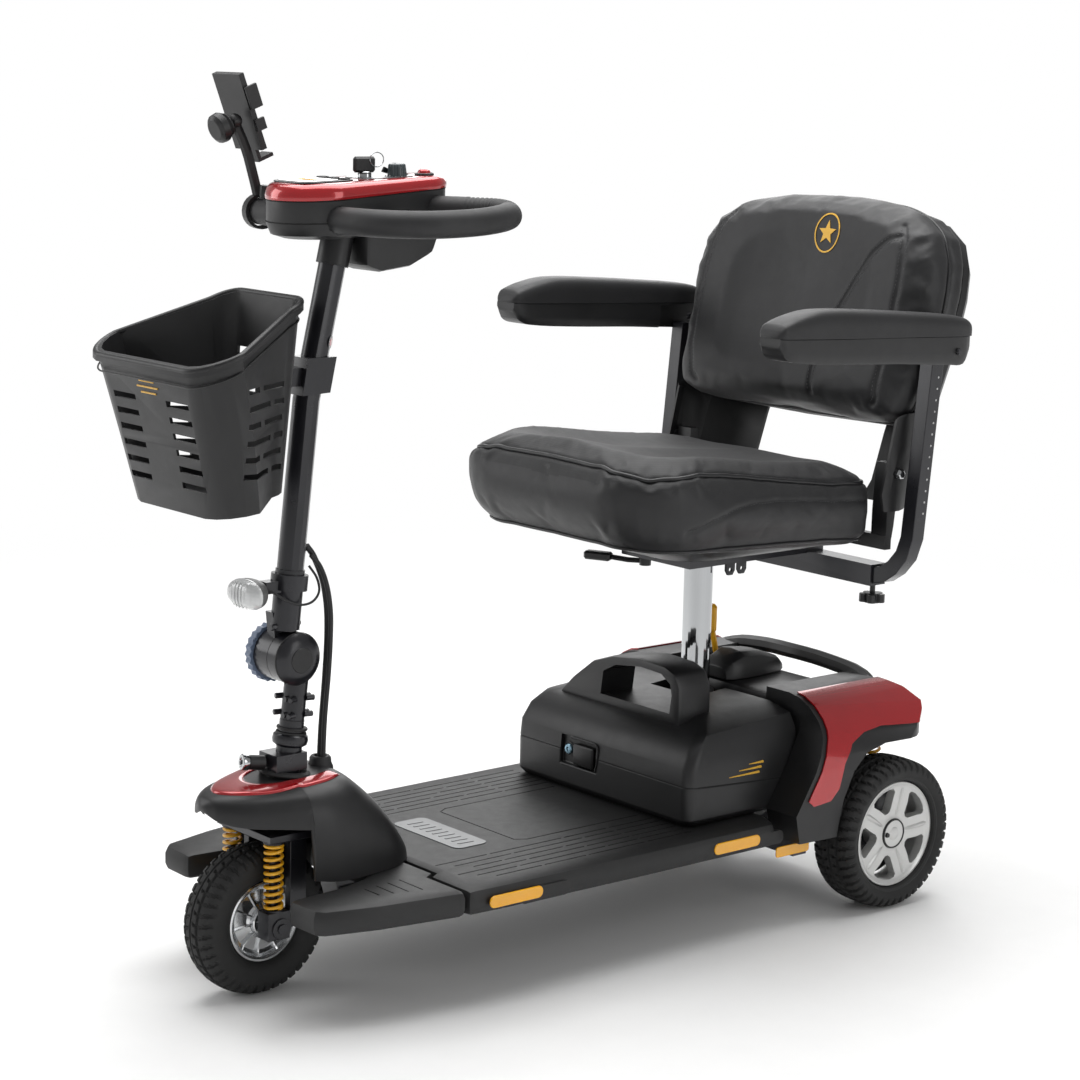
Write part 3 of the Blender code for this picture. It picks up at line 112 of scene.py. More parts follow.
aim_camera()
area_light("top", (-0.5, 0.3, 3.4), (0, 0, 0.3), (3.4, 3.0), 128)
area_light("side", (3.4, 0.6, 1.7), (0, 0, 0.5), (1.3, 2.4), 20)
area_light("rear", (-2.6, 2.4, 2.2), (0, 0, 0.5), (2.2, 2.0), 34)
area_light("front", (-2.8, -2.4, 1.8), (0, 0, 0.5), (1.6, 2.2), 30)


def studio_world():
    """White where it is seen directly, and dimmer as a source of light."""
    world = bpy.data.worlds.new("studio")
    world.use_nodes = True
    tree = world.node_tree
    seen = tree.nodes["Background"]
    seen.inputs["Color"].default_value = (1, 1, 1, 1)
    seen.inputs["Strength"].default_value = 1.0
    lit = tree.nodes.new("ShaderNodeBackground")
    lit.inputs["Color"].default_value = (1, 1, 1, 1)
    lit.inputs["Strength"].default_value = 0.36
    ray = tree.nodes.new("ShaderNodeLightPath")
    mix = tree.nodes.new("ShaderNodeMixShader")
    tree.links.new(ray.outputs["Is Camera Ray"], mix.inputs["Fac"])
    tree.links.new(lit.outputs[0], mix.inputs[1])
    tree.links.new(seen.outputs[0], mix.inputs[2])
    tree.links.new(mix.outputs[0], tree.nodes["World Output"].inputs["Surface"])
    SCENE.world = world


studio_world()
SCENE.view_settings.view_transform = "Standard"


# ---------------------------------------------------------------- materials
def add_node(tree, kind, **settings):
    """A node whose settings name its inputs or its own properties."""
    node = tree.nodes.new(kind)
    for key, value in settings.items():
        if key in node.inputs.keys():
            node.inputs[key].default_value = value
        else:
            setattr(node, key, value)
    return node


def mapped(tree, value, start=0.0, end=1.0, low=0.0, high=1.0):
    """A value mapped from start..end to low..high."""
    node = tree.nodes.new("ShaderNodeMapRange")
    for key, number in (("From Min", start), ("From Max", end), ("To Min", low), ("To Max", high)):
        node.inputs[key].default_value = number
    tree.links.new(value, node.inputs["Value"])
    return node.outputs["Result"]


MIX_A, MIX_B, MIX_OUT = 6, 7, 2        # the colour sockets of a Mix node


def finish(name, colour, rough, metal=0.0, coat=0.0, sheen=0.0, vary=0.25, grain=(), wear=0.0,
           rough_vary=0.08, stretch=(1, 1, 1), coat_rough=0.06):
    """Surface with colour drift, roughness drift, layered bump and lighter worn edges."""
    made = bpy.data.materials.new(name)
    made.use_nodes = True
    tree = made.node_tree
    link = tree.links.new
    shader = tree.nodes["Principled BSDF"]
    for key, value in (("Metallic", metal), ("Coat Weight", coat), ("Coat Roughness", coat_rough),
                       ("Sheen Weight", sheen), ("Sheen Roughness", 0.45)):
        shader.inputs[key].default_value = value
    mapping = add_node(tree, "ShaderNodeMapping", Scale=stretch)
    link(tree.nodes.new("ShaderNodeTexCoord").outputs["Object"], mapping.inputs["Vector"])

    def pattern(kind, output, **settings):
        node = add_node(tree, kind, **settings)
        link(mapping.outputs["Vector"], node.inputs["Vector"])
        return node.outputs[output]

    drift = pattern("ShaderNodeTexNoise", "Fac", Scale=11.0, Detail=5.0, Roughness=0.6)
    mix = add_node(tree, "ShaderNodeMix", data_type="RGBA")
    mix.inputs[MIX_A].default_value = (*(max(c * (1 - vary), 0.0) for c in colour), 1)
    mix.inputs[MIX_B].default_value = (*(min(c * (1 + vary), 1.0) for c in colour), 1)
    link(mapped(tree, drift, 0.3, 0.7), mix.inputs["Factor"])
    colour_out = mix.outputs[MIX_OUT]
    if wear:
        edge = tree.nodes.new("ShaderNodeNewGeometry").outputs["Pointiness"]
        worn = add_node(tree, "ShaderNodeMix", data_type="RGBA")
        link(mapped(tree, edge, 0.54, 0.62, 0.0, wear), worn.inputs["Factor"])
        link(colour_out, worn.inputs[MIX_A])
        worn.inputs[MIX_B].default_value = (*(min(c * 2.2 + 0.03, 1.0) for c in colour), 1)
        colour_out = worn.outputs[MIX_OUT]
    link(colour_out, shader.inputs["Base Color"])
    smear = pattern("ShaderNodeTexNoise", "Fac", Scale=55.0, Detail=4.0, Roughness=0.65)
    smooth, dull = max(rough - rough_vary, 0.02), min(rough + rough_vary, 1.0)
    link(mapped(tree, smear, 0.0, 1.0, smooth, dull), shader.inputs["Roughness"])
    target = shader.inputs["Normal"]
    for kind, scale, strength, deep in reversed(grain):
        if kind == "cells":
            out = pattern("ShaderNodeTexVoronoi", "Distance", Scale=scale, feature="DISTANCE_TO_EDGE")
        elif kind == "dots":
            out = pattern("ShaderNodeTexVoronoi", "Distance", Scale=scale, feature="F1", Randomness=0.2)
        else:
            out = pattern("ShaderNodeTexNoise", "Fac", Scale=scale, Detail=6.0, Roughness=0.6)
        bump = add_node(tree, "ShaderNodeBump", Strength=strength, Distance=deep)
        link(out, bump.inputs["Height"])
        link(bump.outputs["Normal"], target)
        target = bump.inputs["Normal"]
    return made


PLASTIC_GRAIN = (("cells", 950.0, 0.10, 0.0004), ("noise", 420.0, 0.06, 0.0004))
LEATHER_GRAIN = (("cells", 520.0, 0.16, 0.0006), ("noise", 60.0, 0.10, 0.002), ("noise", 9.0, 0.12, 0.006))
MAT = {
    "satin_black": finish("satin_black", (0.0085, 0.0085, 0.0092), 0.42, grain=PLASTIC_GRAIN, wear=0.18),
    "deck_black": finish("deck_black", (0.008, 0.008, 0.0083), 0.5, grain=(("cells", 700.0, 0.2, 0.0006),
                         ("noise", 300.0, 0.08, 0.0005)), wear=0.22, vary=0.35),
    "metal_black": finish("metal_black", (0.0125, 0.0125, 0.016), 0.3, metal=0.25, coat=0.25,
                          grain=(("noise", 600.0, 0.05, 0.0004),), wear=0.2, coat_rough=0.18),
    "vinyl": finish("vinyl", (0.0085, 0.0085, 0.0095), 0.5, sheen=0.06, grain=LEATHER_GRAIN, vary=0.2),
    "vinyl_top": finish("vinyl_top", (0.007, 0.007, 0.0078), 0.6, sheen=0.08, vary=0.25,
                        grain=(("dots", 420.0, 0.22, 0.0008), ("noise", 30.0, 0.1, 0.003))),
    "piping": finish("piping", (0.01, 0.01, 0.011), 0.4, grain=(("cells", 700.0, 0.12, 0.0004),)),
    "stitch": finish("stitch", (0.03, 0.03, 0.033), 0.7, sheen=0.3, grain=(("noise", 900.0, 0.3, 0.0003),)),
    "tyre": finish("tyre", (0.0125, 0.0125, 0.0125), 0.72, grain=(("noise", 260.0, 0.16, 0.0008),
                   ("cells", 900.0, 0.08, 0.0003)), wear=0.3, vary=0.35),
    "silver": finish("silver", (0.6, 0.6, 0.59), 0.33, metal=0.45, coat=0.15, vary=0.04,
                     grain=(("noise", 500.0, 0.04, 0.0003),)),
    "polished": finish("polished", (0.68, 0.69, 0.7), 0.16, metal=0.95, vary=0.04,
                       grain=(("noise", 240.0, 0.05, 0.0004),)),
    "chrome": finish("chrome", (0.47, 0.48, 0.49), 0.07, metal=1.0, vary=0.02, rough_vary=0.025,
                     stretch=(1, 1, 0.2), grain=(("noise", 40.0, 0.03, 0.0004),)),
    "red": finish("red", (0.42, 0.004, 0.008), 0.22, metal=0.35, coat=1.0, vary=0.06, coat_rough=0.03,
                  grain=(("noise", 7.0, 0.02, 0.002),), rough_vary=0.05),
    "yellow": finish("yellow", (0.83, 0.42, 0.012), 0.34, coat=0.5, vary=0.06,
                     grain=(("noise", 300.0, 0.05, 0.0004),)),
    "yellow_plastic": finish("yellow_plastic", (0.86, 0.42, 0.008), 0.4, coat=0.2, vary=0.05,
                             grain=(("cells", 900.0, 0.05, 0.0003),)),
    "knob_grey": finish("knob_grey", (0.13, 0.17, 0.25), 0.42, vary=0.1, grain=PLASTIC_GRAIN, wear=0.2),
    "dial_grey": finish("dial_grey", (0.045, 0.06, 0.065), 0.35, coat=0.2, vary=0.12, grain=PLASTIC_GRAIN),
    "lamp_shell": finish("lamp_shell", (0.1, 0.1, 0.1), 0.4, vary=0.1, grain=PLASTIC_GRAIN),
    "lens": finish("lens", (0.62, 0.63, 0.63), 0.12, coat=1.0, vary=0.12,
                   grain=(("dots", 210.0, 0.45, 0.0012),)),
    "amber": finish("amber", (0.9, 0.42, 0.004), 0.22, coat=0.8, vary=0.08,
                    grain=(("dots", 480.0, 0.3, 0.0006),)),
    "rubber": finish("rubber", (0.015, 0.015, 0.016), 0.58, grain=(("noise", 340.0, 0.08, 0.0004),)),
    "badge": finish("badge", (0.085, 0.092, 0.095), 0.34, coat=0.2, vary=0.12,
                    grain=(("noise", 400.0, 0.05, 0.0003),)),
    "glass": finish("glass", (0.02, 0.022, 0.024), 0.08, coat=1.0, vary=0.2, rough_vary=0.03,
                    grain=(("noise", 30.0, 0.01, 0.0006),)),
    "gold": finish("gold", (0.72, 0.4, 0.03), 0.45, sheen=0.2, vary=0.1,
                   grain=(("noise", 700.0, 0.2, 0.0004),)),
    "screw_blue": finish("screw_blue", (0.25, 0.4, 0.5), 0.25, metal=0.7, vary=0.1,
                         grain=(("noise", 300.0, 0.05, 0.0003),)),
    "dark_hole": finish("dark_hole", (0.003, 0.003, 0.003), 0.8, grain=(("noise", 100.0, 0.1, 0.001),)),
    "white_print": finish("white_print", (0.5, 0.5, 0.5), 0.5, grain=(("noise", 500.0, 0.05, 0.0003),)),
}
NODE_FINISH = {s["node"]: s["material_slot"] for s in frame["record"]["subparts"]}


def floor_finish():
    """White floor that brightens into the backdrop away from the object."""
    made = finish("floor_white", (0.93, 0.93, 0.925), 0.8, vary=0.01)
    tree = made.node_tree
    where = tree.nodes.new("ShaderNodeNewGeometry").outputs["Position"]
    far = tree.nodes.new("ShaderNodeVectorMath")
    far.operation = "LENGTH"
    tree.links.new(where, far.inputs[0])
    fade = tree.nodes.new("ShaderNodeMapRange")
    fade.interpolation_type = "SMOOTHSTEP"
    fade.inputs["From Min"].default_value = 1.1
    fade.inputs["From Max"].default_value = 3.4
    tree.links.new(far.outputs["Value"], fade.inputs["Value"])
    glow = tree.nodes.new("ShaderNodeEmission")
    glow.inputs["Strength"].default_value = 1.0
    mix = tree.nodes.new("ShaderNodeMixShader")
    tree.links.new(fade.outputs["Result"], mix.inputs["Fac"])
    tree.links.new(tree.nodes["Principled BSDF"].outputs[0], mix.inputs[1])
    tree.links.new(glow.outputs[0], mix.inputs[2])
    tree.links.new(mix.outputs[0], tree.nodes["Material Output"].inputs["Surface"])
    return made


floor_mesh = bpy.data.meshes.new("floor")
bm = bmesh.new()
bmesh.ops.create_circle(bm, cap_ends=True, segments=96, radius=60)
bm.to_mesh(floor_mesh)
bm.free()
floor = bpy.data.objects.new("floor", floor_mesh)
floor_mesh.materials.append(floor_finish())
SCENE.collection.objects.link(floor)


# ---------------------------------------------------------------- mesh helpers
def shade(mesh, angle):
    """Smooth shading, with edges sharper than the angle left crisp."""
    mesh.shade_smooth()
    mesh.set_sharp_from_angle(angle=math.radians(angle))


def make(name, mesh, material, body=None, slot=None, replaces=(), smooth=35):
    """Link a mesh as a piece: material, body and the CAD nodes that it stands for; slot is not used."""
    if isinstance(mesh, bmesh.types.BMesh):
        data = bpy.data.meshes.new(name)
        bmesh.ops.recalc_face_normals(mesh, faces=mesh.faces)
        mesh.to_mesh(data)
        mesh.free()
        mesh = data
    mesh.name = name
    mesh.materials.clear()
    mesh.materials.append(MAT[material])
    piece = bpy.data.objects.new(name, mesh)
    SCENE.collection.objects.link(piece)
    if smooth:
        shade(mesh, smooth)
    if body:
        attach(piece, body)
    if replaces:
        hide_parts(*replaces)
    return piece


def soften(piece, width, segments=2, angle=32, weld=False):
    """Round the hard edges with modifiers, which leaves the mesh itself alone."""
    if weld:
        mod = piece.modifiers.new("weld", "WELD")
        mod.merge_threshold = 0.00003
        mod = piece.modifiers.new("flat", "DECIMATE")
        mod.decimate_type = "DISSOLVE"
        mod.angle_limit = math.radians(0.8)
    mod = piece.modifiers.new("round", "BEVEL")
    mod.width = width
    mod.segments = segments
    mod.limit_method = "ANGLE"
    mod.angle_limit = math.radians(angle)
    mod.harden_normals = True
    mod.use_clamp_overlap = True
    return piece


def baked(piece):
    """Turn a piece's modifiers into its mesh."""
    graph = bpy.context.evaluated_depsgraph_get()
    data = bpy.data.meshes.new_from_object(piece.evaluated_get(graph))
    piece.modifiers.clear()
    piece.data = data
    return piece


def merged(meshes):
    bm = bmesh.new()
    for mesh in meshes:
        if isinstance(mesh, bmesh.types.BMesh):
            data = bpy.data.meshes.new("m")
            mesh.to_mesh(data)
            mesh.free()
            mesh = data
        bm.from_mesh(mesh)
    return bm


def box_bm(x0, x1, y0, y1, z0, z1):
    bm = bmesh.new()
    size = Matrix.Diagonal((x1 - x0, y1 - y0, z1 - z0, 1))
    place = Matrix.Translation(at((x0 + x1) / 2, (y0 + y1) / 2, (z0 + z1) / 2))
    bmesh.ops.create_cube(bm, size=1, matrix=place @ size)
    return bm


def bridge(bm, low, high):
    """Faces between two rings; a ring of one point makes a fan."""
    count = max(len(low), len(high))
    for k in range(count):
        j = (k + 1) % count
        if len(low) == 1:
            bm.faces.new((low[0], high[j], high[k]))
        elif len(high) == 1:
            bm.faces.new((low[k], low[j], high[0]))
        else:
            bm.faces.new((low[k], low[j], high[j], high[k]))


def skin(rings, closed=False, caps=True):
    """Skin over rings of points: joined end to end, capped at both ends, or left open."""
    bm = bmesh.new()
    rows = [[bm.verts.new(p) for p in ring] for ring in rings]
    for low, high in zip(rows, rows[1:] + (rows[:1] if closed else [])):
        bridge(bm, low, high)
    if caps and not closed:
        bm.faces.new(rows[0][::-1])
        bm.faces.new(rows[-1])
    return bm


def aimed(axis):
    """Rotation that turns +Z to an axis."""
    return Vector(axis).to_track_quat("Z", "Y").to_matrix().to_4x4()


def lathe(profile, centre, axis, steps=64, closed=False, wave=None):
    """Turn (radius, height) pairs about an axis; wave(angle, i) scales the radius."""
    place = Matrix.Translation(centre) @ aimed(axis)
    rings = []
    for i, (r, h) in enumerate(profile):
        ring = []
        for k in range(steps if r else 1):
            a = 2 * math.pi * k / steps
            q = r * (wave(a, i) if wave else 1.0)
            ring.append(place @ Vector((q * math.cos(a), q * math.sin(a), h)))
        rings.append(ring)
    return skin(rings, closed, caps=False)


def curve_through(points, per=8, closed=False):
    """Smooth line through points, as a dense list with per steps to a span."""
    pts = [Vector(p) for p in points]
    out = []
    count = len(pts)
    spans = count if closed else count - 1
    for i in range(spans):
        if closed:
            p0, p1, p2, p3 = (pts[(i + k - 1) % count] for k in range(4))
        else:
            p1, p2 = pts[i], pts[i + 1]
            p0 = pts[i - 1] if i else p1 * 2 - p2
            p3 = pts[i + 2] if i + 2 < count else p2 * 2 - p1
        for k in range(per):
            t = k / per
            out.append(0.5 * ((2 * p1) + (p2 - p0) * t + (2 * p0 - 5 * p1 + 4 * p2 - p3) * t * t
                              + (3 * p1 - p0 - 3 * p2 + p3) * t ** 3))
    if not closed:
        out.append(pts[-1])
    return out


def sweep(points, radius, sides=12, closed=False):
    """Round bar along dense points; radius is a number or radius(share, index, angle)."""
    pts = [Vector(p) for p in points]
    n = len(pts)
    rings = []
    normal = None
    for i, p in enumerate(pts):
        a = pts[(i - 1) % n] if closed or i else p
        b = pts[(i + 1) % n] if closed or i < n - 1 else p
        along = (b - a).normalized()
        if normal is None:
            normal = Vector((0, 0, 1)) if abs(along.z) < 0.9 else Vector((1, 0, 0))
        normal = (normal - along * normal.dot(along)).normalized()
        side = along.cross(normal)
        ring = []
        for k in range(sides):
            angle = 2 * math.pi * k / sides
            r = radius(i / max(n - 1, 1), i, angle) if callable(radius) else radius
            ring.append(p + normal * (r * math.cos(angle)) + side * (r * math.sin(angle)))
        rings.append(ring)
    return skin(rings, closed)


def turned(name, material, body, profile, centre, axis, steps=64, closed=False, wave=None, **more):
    """A piece made by lathe(); more goes to make()."""
    return make(name, lathe(profile, centre, axis, steps, closed, wave), material, body, **more)


def arcs(corners, n):
    """Outline in plan through corners of (centre x, centre y, first angle, radius)."""
    out = []
    for cx, cy, start, r in corners:
        for k in range(n + 1):
            a = math.radians(start + 90 * k / n)
            out.append((cx + r * math.cos(a), cy + r * math.sin(a)))
    return out


def node_bm(name):
    bm = bmesh.new()
    bm.from_mesh(NODES[name].data)
    bmesh.ops.remove_doubles(bm, verts=bm.verts, dist=0.00003)
    bmesh.ops.dissolve_limit(bm, angle_limit=math.radians(0.8), verts=bm.verts, edges=bm.edges)
    return bm


def carve(piece, cutter):
    """Cut a closed mesh out of a piece, and keep the outcome as its mesh."""
    data = bpy.data.meshes.new("cutter")
    bmesh.ops.recalc_face_normals(cutter, faces=cutter.faces)
    cutter.to_mesh(data)
    cutter.free()
    tool = bpy.data.objects.new("cutter", data)
    SCENE.collection.objects.link(tool)
    mod = piece.modifiers.new("cut", "BOOLEAN")
    mod.operation = "DIFFERENCE"
    mod.solver = "EXACT"
    mod.object = tool
    baked(piece)
    bpy.data.objects.remove(tool, do_unlink=True)
    return piece


# ---------------------------------------------------------------- CAD nodes that stay
BEVEL_GROUPS = {
    0.0007: "tilt_knob",
    0.0008: "steering_stem lock_plunger phone_arm shroud_accent basket",
    0.001: "front_carrier tiller_lower tiller_tube front_deck rear_deck fender_panel_left fender_panel_right "
           "freewheel_lever seat_receiver swivel_lever arm_knob_left arm_knob_right",
    0.0012: "fork_crown phone_plate phone_jaw phone_nut chassis front_shroud battery_latch throttle_paddle "
            "ignition_key",
    0.0015: "transaxle post_lever seat_tub back_shell",
    0.0018: "arm_frame_left arm_frame_right",
    0.002: "console_body armrest_left armrest_right",
    0.0022: "rear_cover",
    0.0025: "battery_case",
    0.003: "battery_cover"}
BEVELS = {name: width for width, names in BEVEL_GROUPS.items() for name in names.split()}
for name, node in NODES.items():
    mesh = node.data
    for spare in [a.name for a in mesh.attributes if a.name == "custom_normal"]:
        mesh.attributes.remove(mesh.attributes[spare])
    mesh.materials.clear()
    mesh.materials.append(MAT[NODE_FINISH[name]])
    shade(mesh, 35)
    if name in BEVELS:
        soften(node, BEVELS[name], 2, 30, weld=True)


# ---------------------------------------------------------------- upholstery tools
def surface_of(piece):
    graph = bpy.context.evaluated_depsgraph_get()
    return BVHTree.FromObject(piece, graph)


def snapped(points, tree, lift=0.0):
    """Points moved onto a surface, then out by lift."""
    out = []
    for p in points:
        spot, normal, _, _ = tree.find_nearest(Vector(p))
        out.append(spot + normal * lift)
    return out


def even(points, gap, closed=False):
    """The same line with its points a gap apart."""
    pts = [Vector(p) for p in points] + ([Vector(points[0])] if closed else [])
    steps = [0.0]
    for a, b in zip(pts, pts[1:]):
        steps.append(steps[-1] + (b - a).length)
    total = steps[-1]
    count = max(int(total / gap), 2)
    out = []
    j = 0
    for k in range(count if closed else count + 1):
        want = total * k / count
        while j < len(steps) - 2 and steps[j + 1] < want:
            j += 1
        share = (want - steps[j]) / max(steps[j + 1] - steps[j], 1e-9)
        out.append(pts[j].lerp(pts[j + 1], min(max(share, 0), 1)))
    return out


def vectors(mesh, kind):
    """Each vertex's point ("co") or normal, as rows of an array."""
    flat = np.zeros(len(mesh.vertices) * 3)
    mesh.vertices.foreach_get(kind, flat)
    return flat.reshape(-1, 3)


def set_points(mesh, points):
    mesh.vertices.foreach_set("co", points.ravel())
    mesh.update()


def pinch(piece, lines, width, depth):
    """Draw the skin in along lines, as a seam does."""
    mesh = piece.data
    co = vectors(mesh, "co")
    normal = vectors(mesh, "normal")
    push = np.zeros(len(co))
    for line in lines:
        dense = np.array([tuple(p) for p in even(line, 0.003)])
        near = np.full(len(co), 1.0)
        for start in range(0, len(dense), 64):
            part = dense[start:start + 64]
            gap = np.linalg.norm(co[:, None, :] - part[None], axis=2).min(axis=1)
            near = np.minimum(near, gap)
        push = np.maximum(push, depth * np.exp(-(near / width) ** 2))
    set_points(mesh, co - normal * push[:, None])


def stitches(name, line, tree, aside, body, size=0.0032):
    """Short threads in a row on a line, or in a row aside each way from it."""
    bm = bmesh.new()
    pts = even(line, 0.0056)
    for i in range(1, len(pts) - 1):
        along = (pts[i + 1] - pts[i - 1]).normalized()
        _, normal, _, _ = tree.find_nearest(pts[i])
        across = along.cross(normal).normalized()
        for s in ((1, -1) if aside else (0,)):
            spot, out, _, _ = tree.find_nearest(pts[i] + across * aside * s)
            basis = Matrix((across, along, out)).transposed().to_4x4()
            place = Matrix.Translation(spot + out * 0.0001) @ basis
            shape = Matrix.Diagonal((size * 0.32, size, size * 0.3, 1))
            bmesh.ops.create_icosphere(bm, subdivisions=1, radius=0.5, matrix=place @ shape)
    return make(name, bm, "stitch", body, smooth=60)


def piping(name, line, tree, radius, body):
    """A closed bead of piping, sunk a little into the surface."""
    pts = snapped(even(line, 0.006, True), tree, radius * 0.4)
    for _ in range(3):
        n = len(pts)
        pts = [(pts[i - 1] + pts[i] * 2 + pts[(i + 1) % n]) / 4 for i in range(n)]
    return make(name, sweep(pts, radius, 8, True), "piping", body, smooth=80)


CLOTH = {"quality": 4, "mass": 0.3, "tension_stiffness": 12, "compression_stiffness": 8, "shear_stiffness": 6,
         "bending_stiffness": 0.8, "use_pressure": True, "uniform_pressure_force": 4.0}
CLOTH_STEPS = 16
VOXEL = 0.0055


def inflate(piece, shrink, cap, hold):
    """Cloth under pressure, held where hold(point) is 0, then one subdivision."""
    mod = piece.modifiers.new("voxel", "REMESH")
    mod.mode = "VOXEL"
    mod.voxel_size = VOXEL
    baked(piece)
    mesh = piece.data
    rest = vectors(mesh, "co")
    weight = np.array([hold(p) for p in rest])[:, None]
    start = rest - vectors(mesh, "normal") * shrink * weight
    set_points(mesh, start)
    cloth = piece.modifiers.new("cloth", "CLOTH")
    for key, value in CLOTH.items():
        setattr(cloth.settings, key, value)
    cloth.settings.effector_weights.gravity = 0
    for step in range(1, CLOTH_STEPS + 1):
        SCENE.frame_set(step)
    graph = bpy.context.evaluated_depsgraph_get()
    moved = vectors(bpy.data.meshes.new_from_object(piece.evaluated_get(graph)), "co")
    piece.modifiers.clear()
    SCENE.frame_set(1)
    shift = moved - start
    far = np.linalg.norm(shift, axis=1)
    shift *= np.minimum(1.0, cap / np.maximum(far, 1e-9))[:, None]
    set_points(mesh, start + shift * weight)
    mod = piece.modifiers.new("calm", "SMOOTH")
    mod.factor = 0.5
    mod.iterations = 4
    mod = piece.modifiers.new("fine", "SUBSURF")
    mod.levels = 1
    mod.render_levels = 1
    baked(piece)
    return piece


def warp(piece, change):
    """Move every vertex of a piece by change(x, y, z), given from the datum."""
    for v in piece.data.vertices:
        v.co = v.co + Vector(change(v.co.x, v.co.y - SHIFT, v.co.z))
    piece.data.update()


def ease(a, b, x):
    t = min(max((x - a) / (b - a), 0.0), 1.0)
    return t * t * (3 - 2 * t)


# ---------------------------------------------------------------- seat cushion
def corner_line(hx, y0, y1, rf, rr):
    """Seat outline: half width, front and rear edge, front and rear corner radius."""
    return arcs(((hx - rf, y0 + rf, -90, rf), (hx - rr, y1 - rr, 0, rr), (rr - hx, y1 - rr, 90, rr),
                 (rf - hx, y0 + rf, 180, rf)), 10)


def seat_rise(x, y):
    """How the top edge rises and falls round the seat."""
    corner = math.exp(-((abs(x) - 0.19) / 0.06) ** 2 - ((y + 0.03) / 0.055) ** 2)
    side = math.exp(-((abs(x) - 0.215) / 0.05) ** 2 - ((y - 0.1) / 0.09) ** 2)
    return -0.012 * corner + 0.004 * side


SEAT_HALF, SEAT_FRONT, SEAT_BACK = 0.2245, -0.07, 0.394
EDGE_FRONT_Z, EDGE_BACK_Z = 0.7045, 0.6525
cushion = make("seat_pad", node_bm("seat_cushion"), "vinyl", smooth=0)
inflate(cushion, 0.0035, 0.012, lambda p: ease(0.56, 0.6, p[2]))


def seat_shape(x, y, z):
    up = ease(0.64, 0.69, z)
    hollow = math.exp(-((abs(x) - 0.095) / 0.075) ** 2 - ((y - 0.16) / 0.17) ** 2)
    ridge = math.exp(-(x / 0.03) ** 2 - ((y - 0.05) / 0.1) ** 2)
    return (0, 0, up * (seat_rise(x, y) - 0.014 * hollow + 0.002 * ridge))


warp(cushion, seat_shape)
SEAT_EDGE = [at(x, y, EDGE_FRONT_Z + (EDGE_BACK_Z - EDGE_FRONT_Z) * ease(-0.055, 0.4, y) + seat_rise(x, y))
             for x, y in corner_line(SEAT_HALF, SEAT_FRONT, SEAT_BACK, 0.098, 0.05)]
skin_tree = surface_of(cushion)
edge_line = snapped(even(SEAT_EDGE, 0.006, True), skin_tree)
pinch(cushion, [edge_line + edge_line[:1]], 0.0055, 0.003)
side_seams = []
for s, _ in SIDES:
    line = [at(s * x, y, z) for x, y, z in ((0.234, 0.01, 0.6), (0.235, 0.09, 0.634), (0.235, 0.17, 0.641),
                                            (0.234, 0.28, 0.632), (0.231, 0.37, 0.622))]
    side_seams.append(snapped(curve_through(line, 10), skin_tree))
pinch(cushion, side_seams, 0.004, 0.0026)
cushion.data.materials.append(MAT["vinyl_top"])
for poly in cushion.data.polygons:
    poly.use_smooth = True
    c = poly.center
    inside = abs(c.x) < SEAT_HALF and SEAT_FRONT - 0.001 < c.y - SHIFT < SEAT_BACK
    if poly.normal.z > 0.35 and c.z > 0.63 and inside:
        poly.material_index = 1
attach(cushion, "seat")
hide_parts("seat_cushion")
skin_tree = surface_of(cushion)
piping("seat_piping", edge_line, skin_tree, 0.0032, "seat")
for (_, tag), line in zip(SIDES, side_seams):
    stitches("seat_side_stitch_" + tag, line, skin_tree, 0.0, "seat")
under_edge = [at(x, y, 0.575) for x, y in corner_line(0.206, -0.043, 0.385, 0.09, 0.05)]
piping("seat_lower_piping", under_edge, skin_tree, 0.0024, "seat")

# ---------------------------------------------------------------- backrest cushion
LEAN = math.radians(13.0)
BACK_O = at(0, 0.3925, 0.733)
BACK_H = Vector((0, math.sin(LEAN), math.cos(LEAN)))
BACK_D = Vector((0, -math.cos(LEAN), math.sin(LEAN)))


def back_at(u, h, d=0.0):
    return BACK_O + Vector((u, 0, 0)) + BACK_H * h + BACK_D * d


back = make("back_pad", node_bm("back_cushion"), "vinyl", smooth=0)


def back_hold(p):
    rel = Vector(p) - BACK_O
    deep = 0.0645 * rel.dot(BACK_H)
    return ease(-0.075 - deep, -0.05 - deep, rel.dot(BACK_D))


inflate(back, 0.0025, 0.009, back_hold)
for v in back.data.vertices:
    rel = v.co - BACK_O
    h = rel.dot(BACK_H)
    d = rel.dot(BACK_D)
    u = v.co.x
    if d > -0.03:
        bulge = 0.007 * math.exp(-(u / 0.15) ** 2 - ((h - 0.08) / 0.07) ** 2)
        hollow = -0.004 * math.exp(-(u / 0.14) ** 2 - ((h - 0.22) / 0.07) ** 2)
        v.co += BACK_D * (bulge + hollow) * ease(-0.03, -0.01, d)
back.data.update()
skin_tree = surface_of(back)


def on_back(pairs, per=8):
    return snapped(curve_through([back_at(u, h, 0.03) for u, h in pairs], per), skin_tree)


